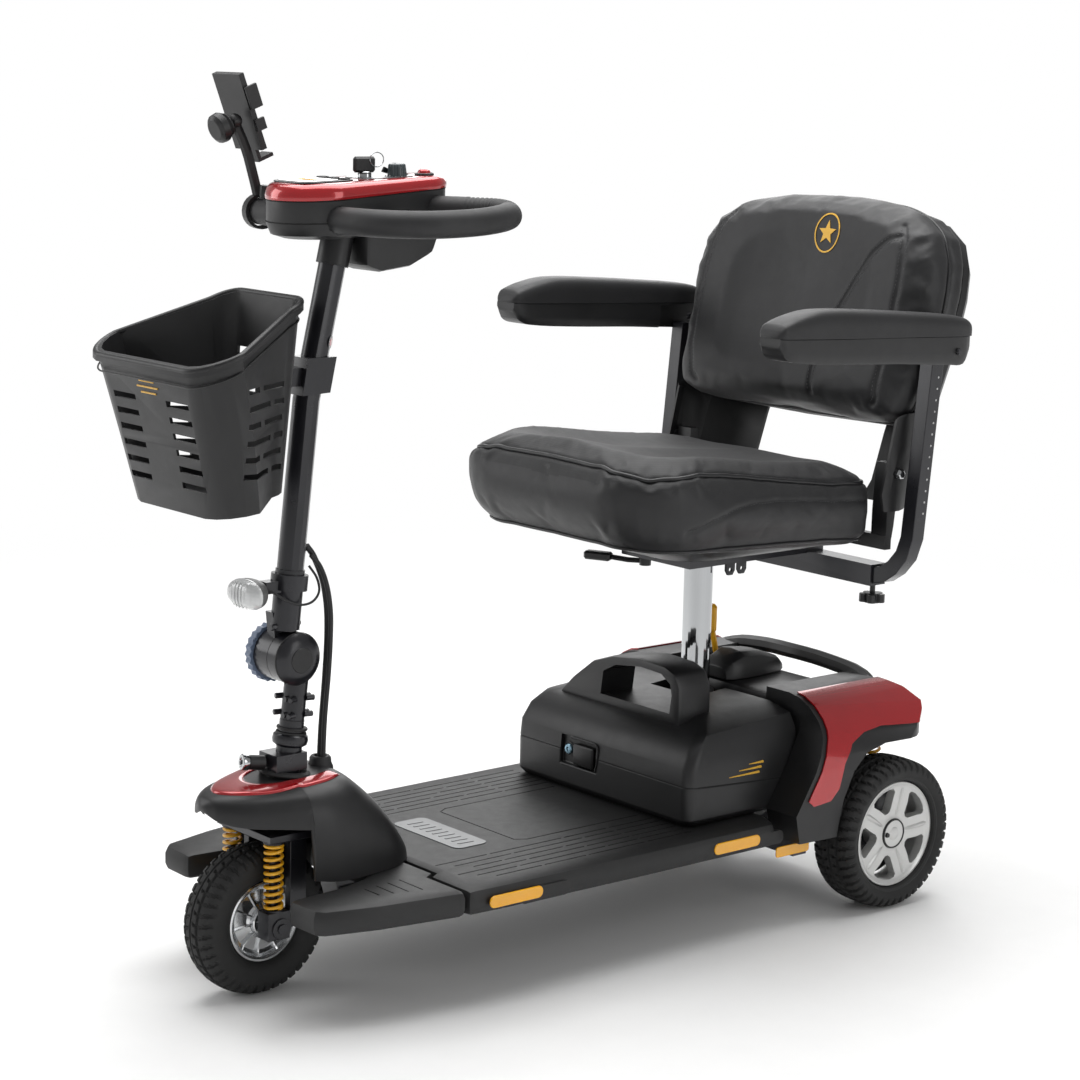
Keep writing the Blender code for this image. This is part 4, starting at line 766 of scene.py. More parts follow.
back_seams = [on_back([(s * 0.19, 0.322), (s * 0.203, 0.265), (s * 0.208, 0.18), (s * 0.208, 0.1),
                       (s * 0.2, 0.03), (s * 0.19, 0.004)]) for s in (1, -1)]
back_seams.append(on_back([(0.19, 0.292), (0.155, 0.268), (0.118, 0.225), (0.088, 0.17), (0.068, 0.11),
                           (0.06, 0.05), (0.06, 0.006)]))
pinch(back, back_seams, 0.005, 0.0034)
BACK_HALF = [(0.0, 0.0), (0.2, 0.002), (0.231, 0.012), (0.242, 0.04), (0.249, 0.11), (0.2515, 0.17),
             (0.251, 0.21), (0.243, 0.255), (0.222, 0.293), (0.178, 0.321), (0.1, 0.336)]
outline = BACK_HALF + [(0.0, 0.341)] + [(-u, h) for u, h in reversed(BACK_HALF[1:])]
rim_deep = [back_at(u * 1.01, h, -0.046 - 0.032 * h - 0.012 * (1 - (u / 0.252) ** 2)) for u, h in outline]
rim_line = snapped(even(curve_through(rim_deep, 6, True), 0.006, True), skin_tree)
pinch(back, [rim_line + rim_line[:1]], 0.0045, 0.0024)
for poly in back.data.polygons:
    poly.use_smooth = True
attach(back, "backrest")
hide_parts("back_cushion")
skin_tree = surface_of(back)
piping("back_piping", rim_line, skin_tree, 0.0026, "backrest")
for i, line in enumerate(back_seams):
    stitches("back_stitch_%d" % i, line, skin_tree, 0.0052, "backrest")


def emblem(name, spot, normal, up, body, size):
    """A plain ring round a five-pointed star."""
    normal = Vector(normal).normalized()
    up = (Vector(up) - normal * Vector(up).dot(normal)).normalized()
    side = up.cross(normal)

    def circle(r, h):
        turns = (2 * math.pi * k / 48 for k in range(48))
        return [spot + normal * h + (side * math.cos(a) * 0.86 + up * math.sin(a)) * r for a in turns]

    def star(h):
        out = []
        for k in range(10):
            a = math.radians(90 + 36 * k)
            r = size * (0.62 if k % 2 == 0 else 0.26)
            out.append(spot + (side * math.cos(a) + up * math.sin(a)) * r + normal * h)
        return out

    rim = size * 0.03
    ring = skin([circle(size * 0.92, 0), circle(size, 0), circle(size, rim), circle(size * 0.92, rim)], True)
    return make(name, merged([ring, skin([star(0), star(size * 0.035)])]), "gold", body, smooth=30)


spot, normal, _, _ = skin_tree.find_nearest(back_at(0.025, 0.273, 0.05))
mark = emblem("back_emblem", spot - normal * 0.0005, normal, BACK_H, "backrest", 0.031)
for v in mark.data.vertices:
    near, up_n, _, _ = skin_tree.find_nearest(v.co)
    v.co = near + up_n * (0.0004 if (v.co - spot).dot(normal) < 0.0003 else 0.0011)

# ---------------------------------------------------------------- armrests
ARM_X = 0.286
TRAY = ((0.0907, 0.02, 0.868, 0.8805), (0.1008, 0.0245, 0.854, 0.8803), (0.1201, 0.0262, 0.8465, 0.8795),
        (0.2084, 0.0262, 0.8395, 0.876), (0.3334, 0.0258, 0.8335, 0.872), (0.439, 0.0245, 0.8265, 0.868),
        (0.4698, 0.0225, 0.8265, 0.867), (0.4832, 0.018, 0.842, 0.8665))
PAD = ((0.0895, 0.0175, 0.88, 0.8865), (0.0925, 0.0225, 0.8797, 0.8925), (0.0989, 0.0265, 0.8795, 0.9),
       (0.1316, 0.029, 0.8783, 0.9105), (0.1748, 0.0292, 0.8765, 0.9165), (0.2661, 0.0288, 0.873, 0.9125),
       (0.3622, 0.028, 0.87, 0.9055), (0.439, 0.027, 0.867, 0.899), (0.4717, 0.0245, 0.866, 0.8935),
       (0.4845, 0.021, 0.8657, 0.8875), (0.489, 0.016, 0.8655, 0.8805))


def spread(rows, per):
    """Rows of numbers with smooth rows between them."""
    out = []
    rows = [np.array(r, float) for r in rows]
    for i in range(len(rows) - 1):
        p1, p2 = rows[i], rows[i + 1]
        p0 = rows[i - 1] if i else p1 * 2 - p2
        p3 = rows[i + 2] if i + 2 < len(rows) else p2 * 2 - p1
        m1 = (p2 - p0) * (p2[0] - p1[0]) / (p2[0] - p0[0])
        m2 = (p3 - p1) * (p2[0] - p1[0]) / (p3[0] - p1[0])
        for k in range(per):
            t = k / per
            out.append((2 * t ** 3 - 3 * t * t + 1) * p1 + (t ** 3 - 2 * t * t + t) * m1
                       + (3 * t * t - 2 * t ** 3) * p2 + (t ** 3 - t * t) * m2)
    out.append(rows[-1])
    return [tuple(r) for r in out]


for s, tag in SIDES:
    rings = []
    for y, w, low, high in spread(PAD, 5):
        ring = []
        for k in range(29):
            a = math.pi * k / 28
            c = math.cos(a)
            tuck = 1 - 0.05 * (1 - abs(math.sin(a))) ** 2
            ring.append(at(s * (ARM_X + w * tuck * math.copysign(abs(c) ** 0.5, c)), y,
                           low + 0.0008 + (high - low - 0.0008) * abs(math.sin(a)) ** 0.55))
        rings.append(ring)
    pad = make("arm_pad_" + tag, skin(rings), "vinyl", "rest_" + tag, smooth=50,
               replaces=("armrest_" + tag,))
    rings = []
    for y, w, low, high in spread(TRAY, 4):
        w2 = w * 0.84
        rings.append([at(s * (ARM_X + dx), y, z) for dx, z in (
            (w2, low), (w * 0.95, low + 0.004), (w, low + (high - low) * 0.4), (w, high - 0.001),
            (w - 0.001, high), (-w + 0.001, high), (-w, high - 0.001),
            (-w, low + (high - low) * 0.4), (-w * 0.95, low + 0.004), (-w2, low))])
    tray = make("arm_tray_" + tag, skin(rings), "satin_black", "rest_" + tag, smooth=35)
    carve(tray, box_bm(*sorted((s * 0.2544, s * 0.2796)), 0.39, 0.52, 0.79, 0.8655))
    soften(tray, 0.001, 2, 40)
    shade(tray.data, 38)
    screws = [lathe([(0, 0.0032), (0.0042, 0.0028), (0.0052, 0.0), (0, 0.0)],
                    at(s * (ARM_X - 0.0258 * q), 0.452, 0.8455), (-s * q, 0, 0), 20) for q in (1, -1)]
    make("arm_pivot_" + tag, merged(screws), "metal_black", "rest_" + tag)


# ---------------------------------------------------------------- tyres
REAR_RADIUS, FRONT_RADIUS = 0.1143, 0.1034
TYRE_X = (0.196 + 0.2735) / 2
REAR_HUB_Y, FRONT_HUB_Y = 0.42, -0.5564
FRONT_HUB = at(0, FRONT_HUB_Y, FRONT_RADIUS)
TREAD_STEPS = 8                          # points round the tyre in one tread pitch


def rear_hub(s):
    return at(s * TYRE_X, REAR_HUB_Y, REAR_RADIUS)


def tyre(name, hub, outer, profile, pitches, depth, body, node, side):
    """Tyre skin turned from a profile, with tread blocks raised from its crown and shoulders."""
    line = curve_through([(r, h, 0) for r, h in profile], 7)
    around = pitches * TREAD_STEPS
    half = max(abs(p[1]) for p in profile)
    rings = []
    for r, h, _ in line:
        reach = (r - (outer - 0.03)) / 0.03
        v = h / half
        ring = []
        for k in range(around):
            turn = k / TREAD_STEPS
            cut = 0.0
            if reach > 0.35:
                if abs(v) > 0.42:
                    slant = turn + 0.55 * abs(v) + (0.5 if v > 0 else 0.0)
                    cut = 1.0 if slant % 1.0 < 0.34 else 0.0
                elif abs(v) > 0.1:
                    slant = turn - 0.8 * abs(v) + (0.0 if v > 0 else 0.5)
                    cut = 1.0 if slant % 1.0 < 0.26 else 0.0
                if 0.36 < abs(v) < 0.46 or abs(v) < 0.045:
                    cut = 1.0
                cut *= min((reach - 0.35) / 0.3, 1.0)
            q = r - depth * cut
            a = 2 * math.pi * k / around
            out = h * (1 - 0.03 * cut) * side
            ring.append((hub[0] + out, hub[1] + q * math.cos(a), hub[2] + q * math.sin(a)))
        rings.append(ring)
    return make(name, skin(rings, closed=True), "tyre", body, smooth=28, replaces=(node,))


def half_tyre(points):
    return points + [(r, -h) for r, h in reversed(points)]


REAR_PROFILE = half_tyre([(0.0818, -0.0275), (0.0862, -0.0335), (0.0925, -0.0373), (0.0985, -0.0387),
                          (0.1045, -0.0375), (0.1095, -0.0335), (0.1125, -0.027), (0.1139, -0.017),
                          (0.1143, -0.006)])
FRONT_PROFILE = half_tyre([(0.0567, -0.0232), (0.0615, -0.0282), (0.069, -0.0315), (0.0776, -0.0325),
                           (0.0862, -0.0318), (0.0935, -0.0285), (0.099, -0.022), (0.1023, -0.013),
                           (0.1034, -0.0045)])
for s, tag in SIDES:
    tyre("tyre_rear_" + tag, rear_hub(s), REAR_RADIUS, REAR_PROFILE, 46, 0.0036, "rear_wheel_" + tag,
         "rear_tyre_" + tag, s)
    turned("tyre_ring_" + tag, "tyre", "rear_wheel_" + tag, [(0.0835, 0.0318), (0.0855, 0.0345),
           (0.0875, 0.0345), (0.0882, 0.0325)], rear_hub(s), (s, 0, 0), 96, closed=True)
tyre("tyre_front", FRONT_HUB, FRONT_RADIUS, FRONT_PROFILE, 42, 0.003, "front_wheel", "front_tyre", 1)


# ---------------------------------------------------------------- rear rims
WINDOW = [(0.036, -0.16), (0.0335, 0.0), (0.036, 0.16), (0.052, 0.3), (0.064, 0.375), (0.0685, 0.33),
          (0.0702, 0.2), (0.0706, 0.0), (0.0702, -0.2), (0.0685, -0.33), (0.064, -0.375), (0.052, -0.3)]
SPOKES = 5
SPOKE_TURN = 360 / SPOKES
WINDOW_ANGLE = 90 + 22


def spoke_windows(hub, side):
    """Window-shaped cutters between the spokes, from (radius, angle) corners, opening outward a little."""
    cutters = []
    for k in range(SPOKES):
        a = math.radians(WINDOW_ANGLE + SPOKE_TURN * k)
        rings = []
        for depth, grow in ((0.0, 1.0), (0.045, 1.03)):
            rings.append([hub + Vector((side * depth, grow * r * math.cos(a + w), grow * r * math.sin(a + w)))
                          for r, w in WINDOW])
        cutters.append(skin(rings))
    return merged(cutters)


def spoke(hub, degrees, s, rows, section):
    """Raised rib outward from a hub: (radius, half width, height) rows, (share of width, drop) section."""
    a = math.radians(degrees)
    along = Vector((0, math.cos(a), math.sin(a)))
    across = Vector((0, -math.sin(a), math.cos(a)))
    out = Vector((s, 0, 0))
    return skin([[hub + along * r + across * (wide * share) + out * (high - drop) for share, drop in section]
                 for r, wide, high in rows])


RIM_PROFILE = [(0, 0.0262), (0.02, 0.0262), (0.0225, 0.0245), (0.0262, 0.0232), (0.031, 0.0232),
               (0.05, 0.0252), (0.0705, 0.0255), (0.0735, 0.0268), (0.0765, 0.0288), (0.0795, 0.0283),
               (0.0806, 0.0262), (0.0806, -0.026), (0.0775, -0.028), (0.0748, -0.026), (0.0735, 0.012),
               (0.03, 0.008), (0.026, -0.02), (0.0105, -0.02), (0.0105, 0.004), (0, 0.004)]
RIDGE_ROWS = ((0.0265, 0.0012, 0.0236), (0.032, 0.0032, 0.0256), (0.05, 0.0042, 0.0274),
              (0.066, 0.005, 0.0278), (0.0715, 0.0035, 0.0266))
RIDGE_SECTION = ((0, 0), (0.5, 0.0008), (1, 0.003), (-1, 0.003), (-0.5, 0.0008))
for s, tag in SIDES:
    hub = rear_hub(s)
    body = "rear_wheel_" + tag
    out = (s, 0, 0)
    rim = make("rim_rear_" + tag, lathe(RIM_PROFILE, hub, out, 110), "silver", smooth=30,
               replaces=("rear_rim_" + tag,))
    carve(rim, spoke_windows(hub, s))
    shade(rim.data, 32)
    soften(rim, 0.0012, 2, 40)
    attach(rim, body)
    ridges = [spoke(hub, WINDOW_ANGLE + SPOKE_TURN * (k + 0.5), s, RIDGE_ROWS, RIDGE_SECTION)
              for k in range(SPOKES)]
    make("rim_ridges_" + tag, merged(ridges), "silver", body, smooth=45)
    turned("hub_ring_" + tag, "satin_black", body, [(0.0202, 0.0255), (0.0206, 0.0272), (0.0222, 0.0272),
           (0.0232, 0.0242)], hub, out, 64, closed=True)
    turned("hub_cap_" + tag, "silver", body, [(0, 0.0276), (0.0085, 0.0274), (0.0105, 0.0262)], hub, out, 40)
    turned("hub_valve_" + tag, "satin_black", body, [(0, 0.0292), (0.0032, 0.029), (0.004, 0.0262)],
           hub + Vector((0, -0.0148, 0)), out, 16)
    turned("wheel_back_" + tag, "metal_black", body, [(0, -0.012), (0.06, -0.012), (0.072, -0.016),
           (0.072, -0.0185), (0, -0.0185)], hub, out, 48)


# ---------------------------------------------------------------- front rim
RIM_HALF = [(0.0075, 0.0262), (0.0185, 0.0262), (0.0198, 0.0248), (0.0208, 0.0175), (0.024, 0.0148),
            (0.042, 0.0128), (0.0465, 0.0155), (0.0495, 0.0215), (0.0525, 0.0232), (0.0552, 0.0228),
            (0.0561, 0.0205)]
RIB_ROWS = ((0.0205, 0.0016, 0.0205), (0.03, 0.0017, 0.0185), (0.042, 0.0019, 0.0175),
            (0.0492, 0.002, 0.0205))
RIB_SECTION = ((0.55, 0), (-0.55, 0), (-1, 0.0065), (1, 0.0065))
turned("rim_front", "polished", "front_wheel", RIM_HALF + [(r, -h) for r, h in reversed(RIM_HALF)], FRONT_HUB,
       (1, 0, 0), 96, closed=True, replaces=("front_rim",), smooth=30)
ribs = [spoke(FRONT_HUB, 36 * k + 9, s, RIB_ROWS, RIB_SECTION) for s, _ in SIDES for k in range(10)]
make("rim_front_ribs", merged(ribs), "polished", "front_wheel", smooth=40)
bolts = []
for s, _ in SIDES:
    for k in range(5):
        a = math.radians(72 * k + 27)
        spot = FRONT_HUB + Vector((0, math.cos(a), math.sin(a))) * 0.0135
        bolts.append(lathe([(0, 0.0285), (0.0018, 0.0285), (0.0022, 0.026)], spot, (s, 0, 0), 6))
make("rim_front_bolts", merged(bolts), "chrome", "front_wheel", smooth=30)


# ---------------------------------------------------------------- springs
def spring(name, x, y, low, high, radius, wire, turns, body, node):
    """Coil with closed end turns."""
    pts = []
    steps = int(turns * 22)
    z0, z1 = low + wire, high - wire
    for k in range(steps + 1):
        t = k / steps
        a = 2 * math.pi * turns * t
        lift = min(max((t * turns - 0.8) / (turns - 1.6), 0.0), 1.0)
        pts.append(at(x + radius * math.cos(a), y + radius * math.sin(a), z0 + (z1 - z0) * lift))
    piece = make(name, sweep(pts, wire, 10), "yellow", body, replaces=(node,), smooth=80)
    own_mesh(piece)


for s, tag in SIDES:
    spring("spring_front_" + tag, s * 0.049, -0.5605, 0.1295, 0.2185, 0.0115, 0.0023, 10.5, "steering",
           "front_spring_" + tag)
    spring("spring_rear_" + tag, s * 0.178, 0.452, 0.1495, 0.2615, 0.0125, 0.0025, 9.5, "base",
           "rear_spring_" + tag)

# ---------------------------------------------------------------- front shroud
SHROUD_FRONT = ((-0.6425, 0.006, 0.2665, 0.272, 0.85), (-0.641, 0.012, 0.2635, 0.2752, 0.8),
                (-0.634, 0.029, 0.2555, 0.2825, 0.7), (-0.609, 0.054, 0.2485, 0.2885, 0.6),
                (-0.56, 0.077, 0.244, 0.293, 0.52), (-0.527, 0.09, 0.241, 0.2965, 0.5))
SHROUD_REAR = ((-0.5245, 0.095, 0.1715, 0.2967, 0.5), (-0.49, 0.101, 0.1668, 0.2985, 0.55),
               (-0.45, 0.102, 0.1668, 0.299, 0.66), (-0.42, 0.099, 0.1668, 0.28, 0.75),
               (-0.385, 0.09, 0.1668, 0.247, 0.8), (-0.35, 0.064, 0.1668, 0.202, 0.85),
               (-0.331, 0.03, 0.1668, 0.175, 0.9))
SHROUD_ROWS = spread(SHROUD_FRONT, 5) + spread(SHROUD_REAR, 5)


def shroud_ring(row, n=30):
    y, w, low, crest, power = row
    out = []
    for k in range(n + 1):
        a = math.pi * k / n
        c = math.cos(a)
        rise = (crest - low) * abs(math.sin(a)) ** power
        out.append(at(w * math.copysign(abs(c) ** power, c), y, low + rise))
    return out


def shroud_top(x, y):
    """Height of the shroud skin over a point."""
    for a, b in zip(SHROUD_ROWS, SHROUD_ROWS[1:]):
        if a[0] <= y <= b[0]:
            t = (y - a[0]) / max(b[0] - a[0], 1e-9)
            _, w, low, crest, power = (p + (q - p) * t for p, q in zip(a, b))
            side = min(abs(x) / w, 0.999)
            return low + (crest - low) * (1 - side ** (2 / power)) ** (power / 2)
    return SHROUD_ROWS[0][3]


hull = make("shroud_skin", skin([shroud_ring(r) for r in SHROUD_ROWS]), "satin_black", smooth=0,
            replaces=("front_shroud",))
WALL, BELOW = 0.0035, 0.03
hollow_rows = []
for i, (y, w, low, crest, power) in enumerate(SHROUD_ROWS):
    inward = 0.004 if i == 0 else -0.004 if i == len(SHROUD_ROWS) - 1 else 0
    hollow_rows.append((y + inward, max(w - WALL, 0.003), low - BELOW, crest - WALL, power))
carve(hull, skin([shroud_ring(r) for r in hollow_rows]))
STEM_LEAN = (0, 0.12, 1)


def stem_y(z):
    """Where the leaning steering stem is at a height."""
    return -0.501 + (z - 0.347) * STEM_LEAN[1]


carve(hull, lathe([(0, -0.05), (0.0275, -0.05), (0.0275, 0.06), (0, 0.06)], at(0, stem_y(0.3), 0.3),
                  STEM_LEAN, 40))
shade(hull.data, 30)
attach(hull, "base")
turned("shroud_collar", "rubber", "base", [(0.0277, -0.012), (0.0277, -0.0085), (0.0295, -0.007),
       (0.036, -0.0085), (0.0375, -0.0115), (0.0365, -0.0135)], at(0, stem_y(0.3), 0.309), STEM_LEAN, 48,
       closed=True)
turned("cable_boot", "rubber", "base", [(0.0085, -0.028), (0.0185, -0.03), (0.0178, -0.012), (0.0152, -0.006),
       (0.0148, 0.0), (0.0125, 0.003), (0.009, 0.0032), (0.0085, 0.0)], at(0, -0.4515, 0.309), (0, 0, 1), 36,
       closed=True)

ACCENT_OUT = [(0.0, -0.6225), (0.022, -0.614), (0.042, -0.59), (0.056, -0.556), (0.0605, -0.515),
              (0.0575, -0.475), (0.047, -0.451)]
ACCENT_IN = [(0.0, -0.568), (0.013, -0.5655), (0.0245, -0.558), (0.0345, -0.54), (0.0385, -0.515),
             (0.0385, -0.49), (0.0345, -0.46)]
LENGTHWISE, CROSSWISE = 60, 12


def band_line(half, count):
    pts = [(-x, y, 0) for x, y in reversed(half[1:])] + [(x, y, 0) for x, y in half]
    dense = curve_through(pts, 8)
    total = sum((b - a).length for a, b in zip(dense, dense[1:]))
    return even(dense, total / count)[:count + 1]


outer_line = band_line(ACCENT_OUT, LENGTHWISE)
inner_line = band_line(ACCENT_IN, LENGTHWISE)
bm = bmesh.new()
grid = []
for i in range(LENGTHWISE + 1):
    row = []
    for j in range(CROSSWISE + 1):
        t = j / CROSSWISE
        p = outer_line[i].lerp(inner_line[i], t)
        end = min(i, LENGTHWISE - i) / 3.0
        edge = min(min(t, 1 - t) * CROSSWISE / 1.6, end, 1.0)
        lift = 0.0004 + 0.0022 * math.sqrt(max(1 - (1 - edge) ** 2, 0))
        row.append(bm.verts.new(at(p.x, p.y, shroud_top(p.x, p.y) + lift)))
    grid.append(row)
for low, high in zip(grid, grid[1:]):
    for j in range(CROSSWISE):
        bm.faces.new((low[j], low[j + 1], high[j + 1], high[j]))
accent = make("accent_skin", bm, "red", smooth=60, replaces=("shroud_accent",))
mod = accent.modifiers.new("thick", "SOLIDIFY")
mod.thickness = 0.0012
mod.offset = -1 if accent.data.polygons[300].normal.z > 0 else 1
baked(accent)
accent.data.shade_smooth()
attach(accent, "base")


# ---------------------------------------------------------------- tiller details
def tube_y(z):
    """Where the tiller tube, bent at 0.8, is at a height."""
    return -0.48 + (z - 0.8) * (0.225 if z > 0.8 else 0.103)


KNUCKLE = at(0, -0.505, 0.4565)
turned("knuckle_badge", "satin_black", "steering", [(0, 0.0336), (0.0085, 0.0334), (0.0165, 0.0329),
       (0.0172, 0.0322), (0.0165, 0.031)], KNUCKLE, (1, 0, 0), 48)
turned("knuckle_groove", "satin_black", "steering", [(0.0353, 0.019), (0.0353, 0.0215), (0.0362, 0.021),
       (0.0362, 0.0195)], KNUCKLE, (1, 0, 0), 64, closed=True)
screws = []
for z in (0.378, 0.4):
    for s in (1, -1):
        for side in (1, -1):
            screws.append(lathe([(0, 0.0075), (0.0034, 0.0075), (0.004, 0.0065), (0.004, -0.004),
                                 (0, -0.004)],
                                at(side * 0.0155, stem_y(z) + s * 0.0125, z), (side * 0.25, s, 0), 12))
make("stem_bolts", merged(screws), "metal_black", "steering", smooth=30)
screws = []
for z, s in ((0.5, 1), (0.5, -1), (0.6, 1)):
    screws.append(lathe([(0, 0.0065), (0.0038, 0.0065), (0.0045, 0.0052), (0.0045, -0.004), (0, -0.004)],
                        at(-0.004 * s, tube_y(z) + s * 0.0195, z), (0, s, 0), 12))
make("tube_bolts", merged(screws), "metal_black", "tiller", smooth=30)
rings = [lathe([(0.0165, h - 0.0025), (0.0205, h - 0.0018), (0.0212, h), (0.0205, h + 0.0018),
                (0.0165, h + 0.0025)], at(0, stem_y(0.347 + h), 0.347), STEM_LEAN, 40, closed=True)
         for h in (0.004, 0.0105)]
make("stem_rings", merged(rings), "rubber", "steering")
LOCK_AXIS = Vector((-0.25, -1, 0.12)).normalized()
LOCK_ROOT = at(-0.004, -0.5402, 0.3145)
turned("lock_body", "satin_black", "lock", [(0, 0.001), (0.0101, 0.001), (0.0101, 0.0225), (0.0092, 0.0235),
       (0, 0.0235)], LOCK_ROOT, LOCK_AXIS, 32, replaces=("lock_plunger",))
turned("lock_face", "chrome", "lock", [(0, 0.0235), (0.0105, 0.0235), (0.0112, 0.0245), (0.0112, 0.032),
       (0.0102, 0.033), (0.0062, 0.033), (0.0058, 0.0318), (0, 0.0318)], LOCK_ROOT, LOCK_AXIS, 36,
       slot="silver")
# The keyhole is a dark slab on the chrome face of the lock: painted shade standing in for the key slot.
keyhole = bmesh.new()
bmesh.ops.create_cube(keyhole, size=1, matrix=Matrix.Translation(LOCK_ROOT + LOCK_AXIS * 0.0321)
                      @ aimed(LOCK_AXIS) @ Matrix.Diagonal((0.0018, 0.006, 0.0012, 1)))
make("lock_keyhole", keyhole, "dark_hole", "lock")

# ---------------------------------------------------------------- headlight
LIGHT = at(0, -0.5502, 0.5505)


def lamp_ring(d, w, h, drop, n=48):
    out = []
    for k in range(n):
        a = 2 * math.pi * k / n
        c, s = math.cos(a), math.sin(a)
        out.append(LIGHT + Vector((w * math.copysign(abs(c) ** 0.85, c), -d,
                                   drop + h * math.copysign(abs(s) ** 0.85, s))))
    return out


LAMP_SHELL = [(0.0, 0.011, 0.008, 0.0), (0.0015, 0.016, 0.0105, 0.0), (0.006, 0.0262, 0.0155, 0.0),
              (0.013, 0.034, 0.0187, -0.001), (0.0195, 0.0366, 0.0196, -0.002),
              (0.0212, 0.0366, 0.0196, -0.002)]
make("lamp_back", skin([lamp_ring(*r) for r in spread(LAMP_SHELL, 4)]), "lamp_shell", "lamp",
     replaces=("headlight",), smooth=50)
LENS_ROWS = [(0.0214, 0.0372, 0.02, -0.002), (0.0235, 0.0372, 0.02, -0.002), (0.0285, 0.0352, 0.0182, -0.002),
             (0.0335, 0.0295, 0.0145, -0.002), (0.0358, 0.021, 0.0096, -0.002),
             (0.0365, 0.01, 0.0045, -0.002)]
make("lamp_lens", skin([lamp_ring(*r) for r in spread(LENS_ROWS, 4)]), "lens", "lamp", smooth=50)
flutes = []
for k in range(-4, 5):
    x = k * 0.0072
    reach = math.sqrt(max(1 - (x / 0.036) ** 2, 0.05))
    d = 0.0215 + 0.0158 * math.sqrt(max(1 - (x / 0.0372) ** 2, 0))
    pts = [LIGHT + Vector((x, -(d - 0.0042 * abs(t) ** 2.2), -0.002 + t * 0.0165 * reach)) for t in
           (q / 8 for q in range(-8, 9))]
    flutes.append(sweep(pts, 0.0011, 6))
make("lamp_flutes", merged(flutes), "lens", "lamp", smooth=60)


# ---------------------------------------------------------------- cables
CABLE_START = tuple(at(0, -0.4518, 0.31))
CABLE_END = tuple(at(0, -0.453, 0.56))


def cable(name, places, radius, sides=12):
    """A cord through listed places, with both ends in the object."""
    path = curve_through([at(*p) for p in places], 6)
    piece = make(name, sweep(path, radius, sides), "rubber", smooth=80)
    if name == "cable_lamp":
        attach(piece, "tiller")
    else:
        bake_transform(piece, "base", "steering", start=CABLE_START, end=CABLE_END)
    return piece


main = cable("cable_main", [(0.0, -0.4525, 0.276), (0.0, -0.4518, 0.32), (0.001, -0.4505, 0.36),
                            (0.003, -0.4465, 0.43), (0.0035, -0.4445, 0.48), (0.0035, -0.446, 0.52),
                            (0.003, -0.453, 0.556), (0.001, -0.466, 0.588), (0.0, -0.4775, 0.604)],
             0.0042)
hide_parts("main_cable")
cable("cable_twin", [(0.0088, -0.4535, 0.29), (0.009, -0.4528, 0.33), (0.0098, -0.4515, 0.37),
                     (0.0118, -0.4475, 0.43), (0.0125, -0.4455, 0.48), (0.0123, -0.446, 0.515),
                     (0.0115, -0.4515, 0.548), (0.0095, -0.4615, 0.575), (0.0065, -0.4745, 0.592)],
      0.0034)
cable("cable_lamp", [(0.012, -0.5462, 0.553), (0.018, -0.5385, 0.5475), (0.0245, -0.522, 0.537),
                     (0.027, -0.503, 0.531), (0.0255, -0.484, 0.5335), (0.021, -0.471, 0.545),
                     (0.0145, -0.4705, 0.562), (0.0075, -0.4785, 0.578)], 0.0017, sides=8)


# ---------------------------------------------------------------- console
CONSOLE_FRONT, CONSOLE_LONG = -0.532, 0.266
CONSOLE_UP = Vector((0, -0.045, 1)).normalized()
ARC_STEPS, ARC_REACH = 16, 88.2


def console_line(grow):
    """Plan outline of the console: a wide arc in front, a narrow one behind."""
    out = []
    for centre, radius, facing in ((-0.466, 0.066 + grow, -90), (-0.313, 0.047 + grow, 90)):
        for k in range(-ARC_STEPS, ARC_STEPS + 1):
            a = math.radians(facing + ARC_REACH * k / ARC_STEPS)
            out.append((radius * math.cos(a), centre + radius * math.sin(a)))
    return out


def share_along(y):
    return (y - CONSOLE_FRONT) / CONSOLE_LONG


def console_ring(grow, low, high):
    return [at(x, y, low + (high - low) * share_along(y)) for x, y in console_line(grow)]


def on_console(x, y, high=0.0):
    """A point on the sloping top of the console."""
    return at(x, y, 1.0832 + 0.0116 * share_along(y) + high)


COVER_ROWS = [(-0.0004, 1.061, 1.0776), (0.0012, 1.0618, 1.0783), (0.0016, 1.066, 1.082),
              (0.0008, 1.0715, 1.0862), (-0.0012, 1.0765, 1.0898), (-0.0048, 1.0805, 1.0926),
              (-0.0095, 1.0825, 1.0942), (-0.016, 1.0832, 1.0948)]
HORN_AT, DIAL_AT, KEY_AT = on_console(0.022, -0.307), on_console(0.022, -0.352), on_console(0.0, -0.389)
cover = make("console_shell", skin([console_ring(*r) for r in COVER_ROWS]), "red", smooth=0,
             replaces=("console_cover",))
carve(cover, lathe([(0, -0.0045), (0.0102, -0.0045), (0.0102, 0.01), (0, 0.01)], HORN_AT, CONSOLE_UP, 40))
shade(cover.data, 28)
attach(cover, "tiller")
make("console_seam", sweep(console_ring(-0.0002, 1.0607, 1.0772), 0.0009, 6, closed=True), "dark_hole",
     "tiller")
make("console_parting", sweep(console_ring(0.0002, 1.0325, 1.0455), 0.0007, 6, closed=True), "dark_hole",
     "tiller")


def rounded(x0, x1, y0, y1, r, n=5):
    return arcs(((x1 - r, y0 + r, -90, r), (x1 - r, y1 - r, 0, r), (x0 + r, y1 - r, 90, r),
                 (x0 + r, y0 + r, 180, r)), n)


def panel_plate(name, outline, low, high, material, round_by):
    """Flat plate on the sloping console top; outline in plan."""
    rings = [[on_console(x, y, h) for x, y in outline] for h in (low, high)]
    return soften(make(name, skin(rings), material, "tiller", smooth=30), round_by, 2, 30)


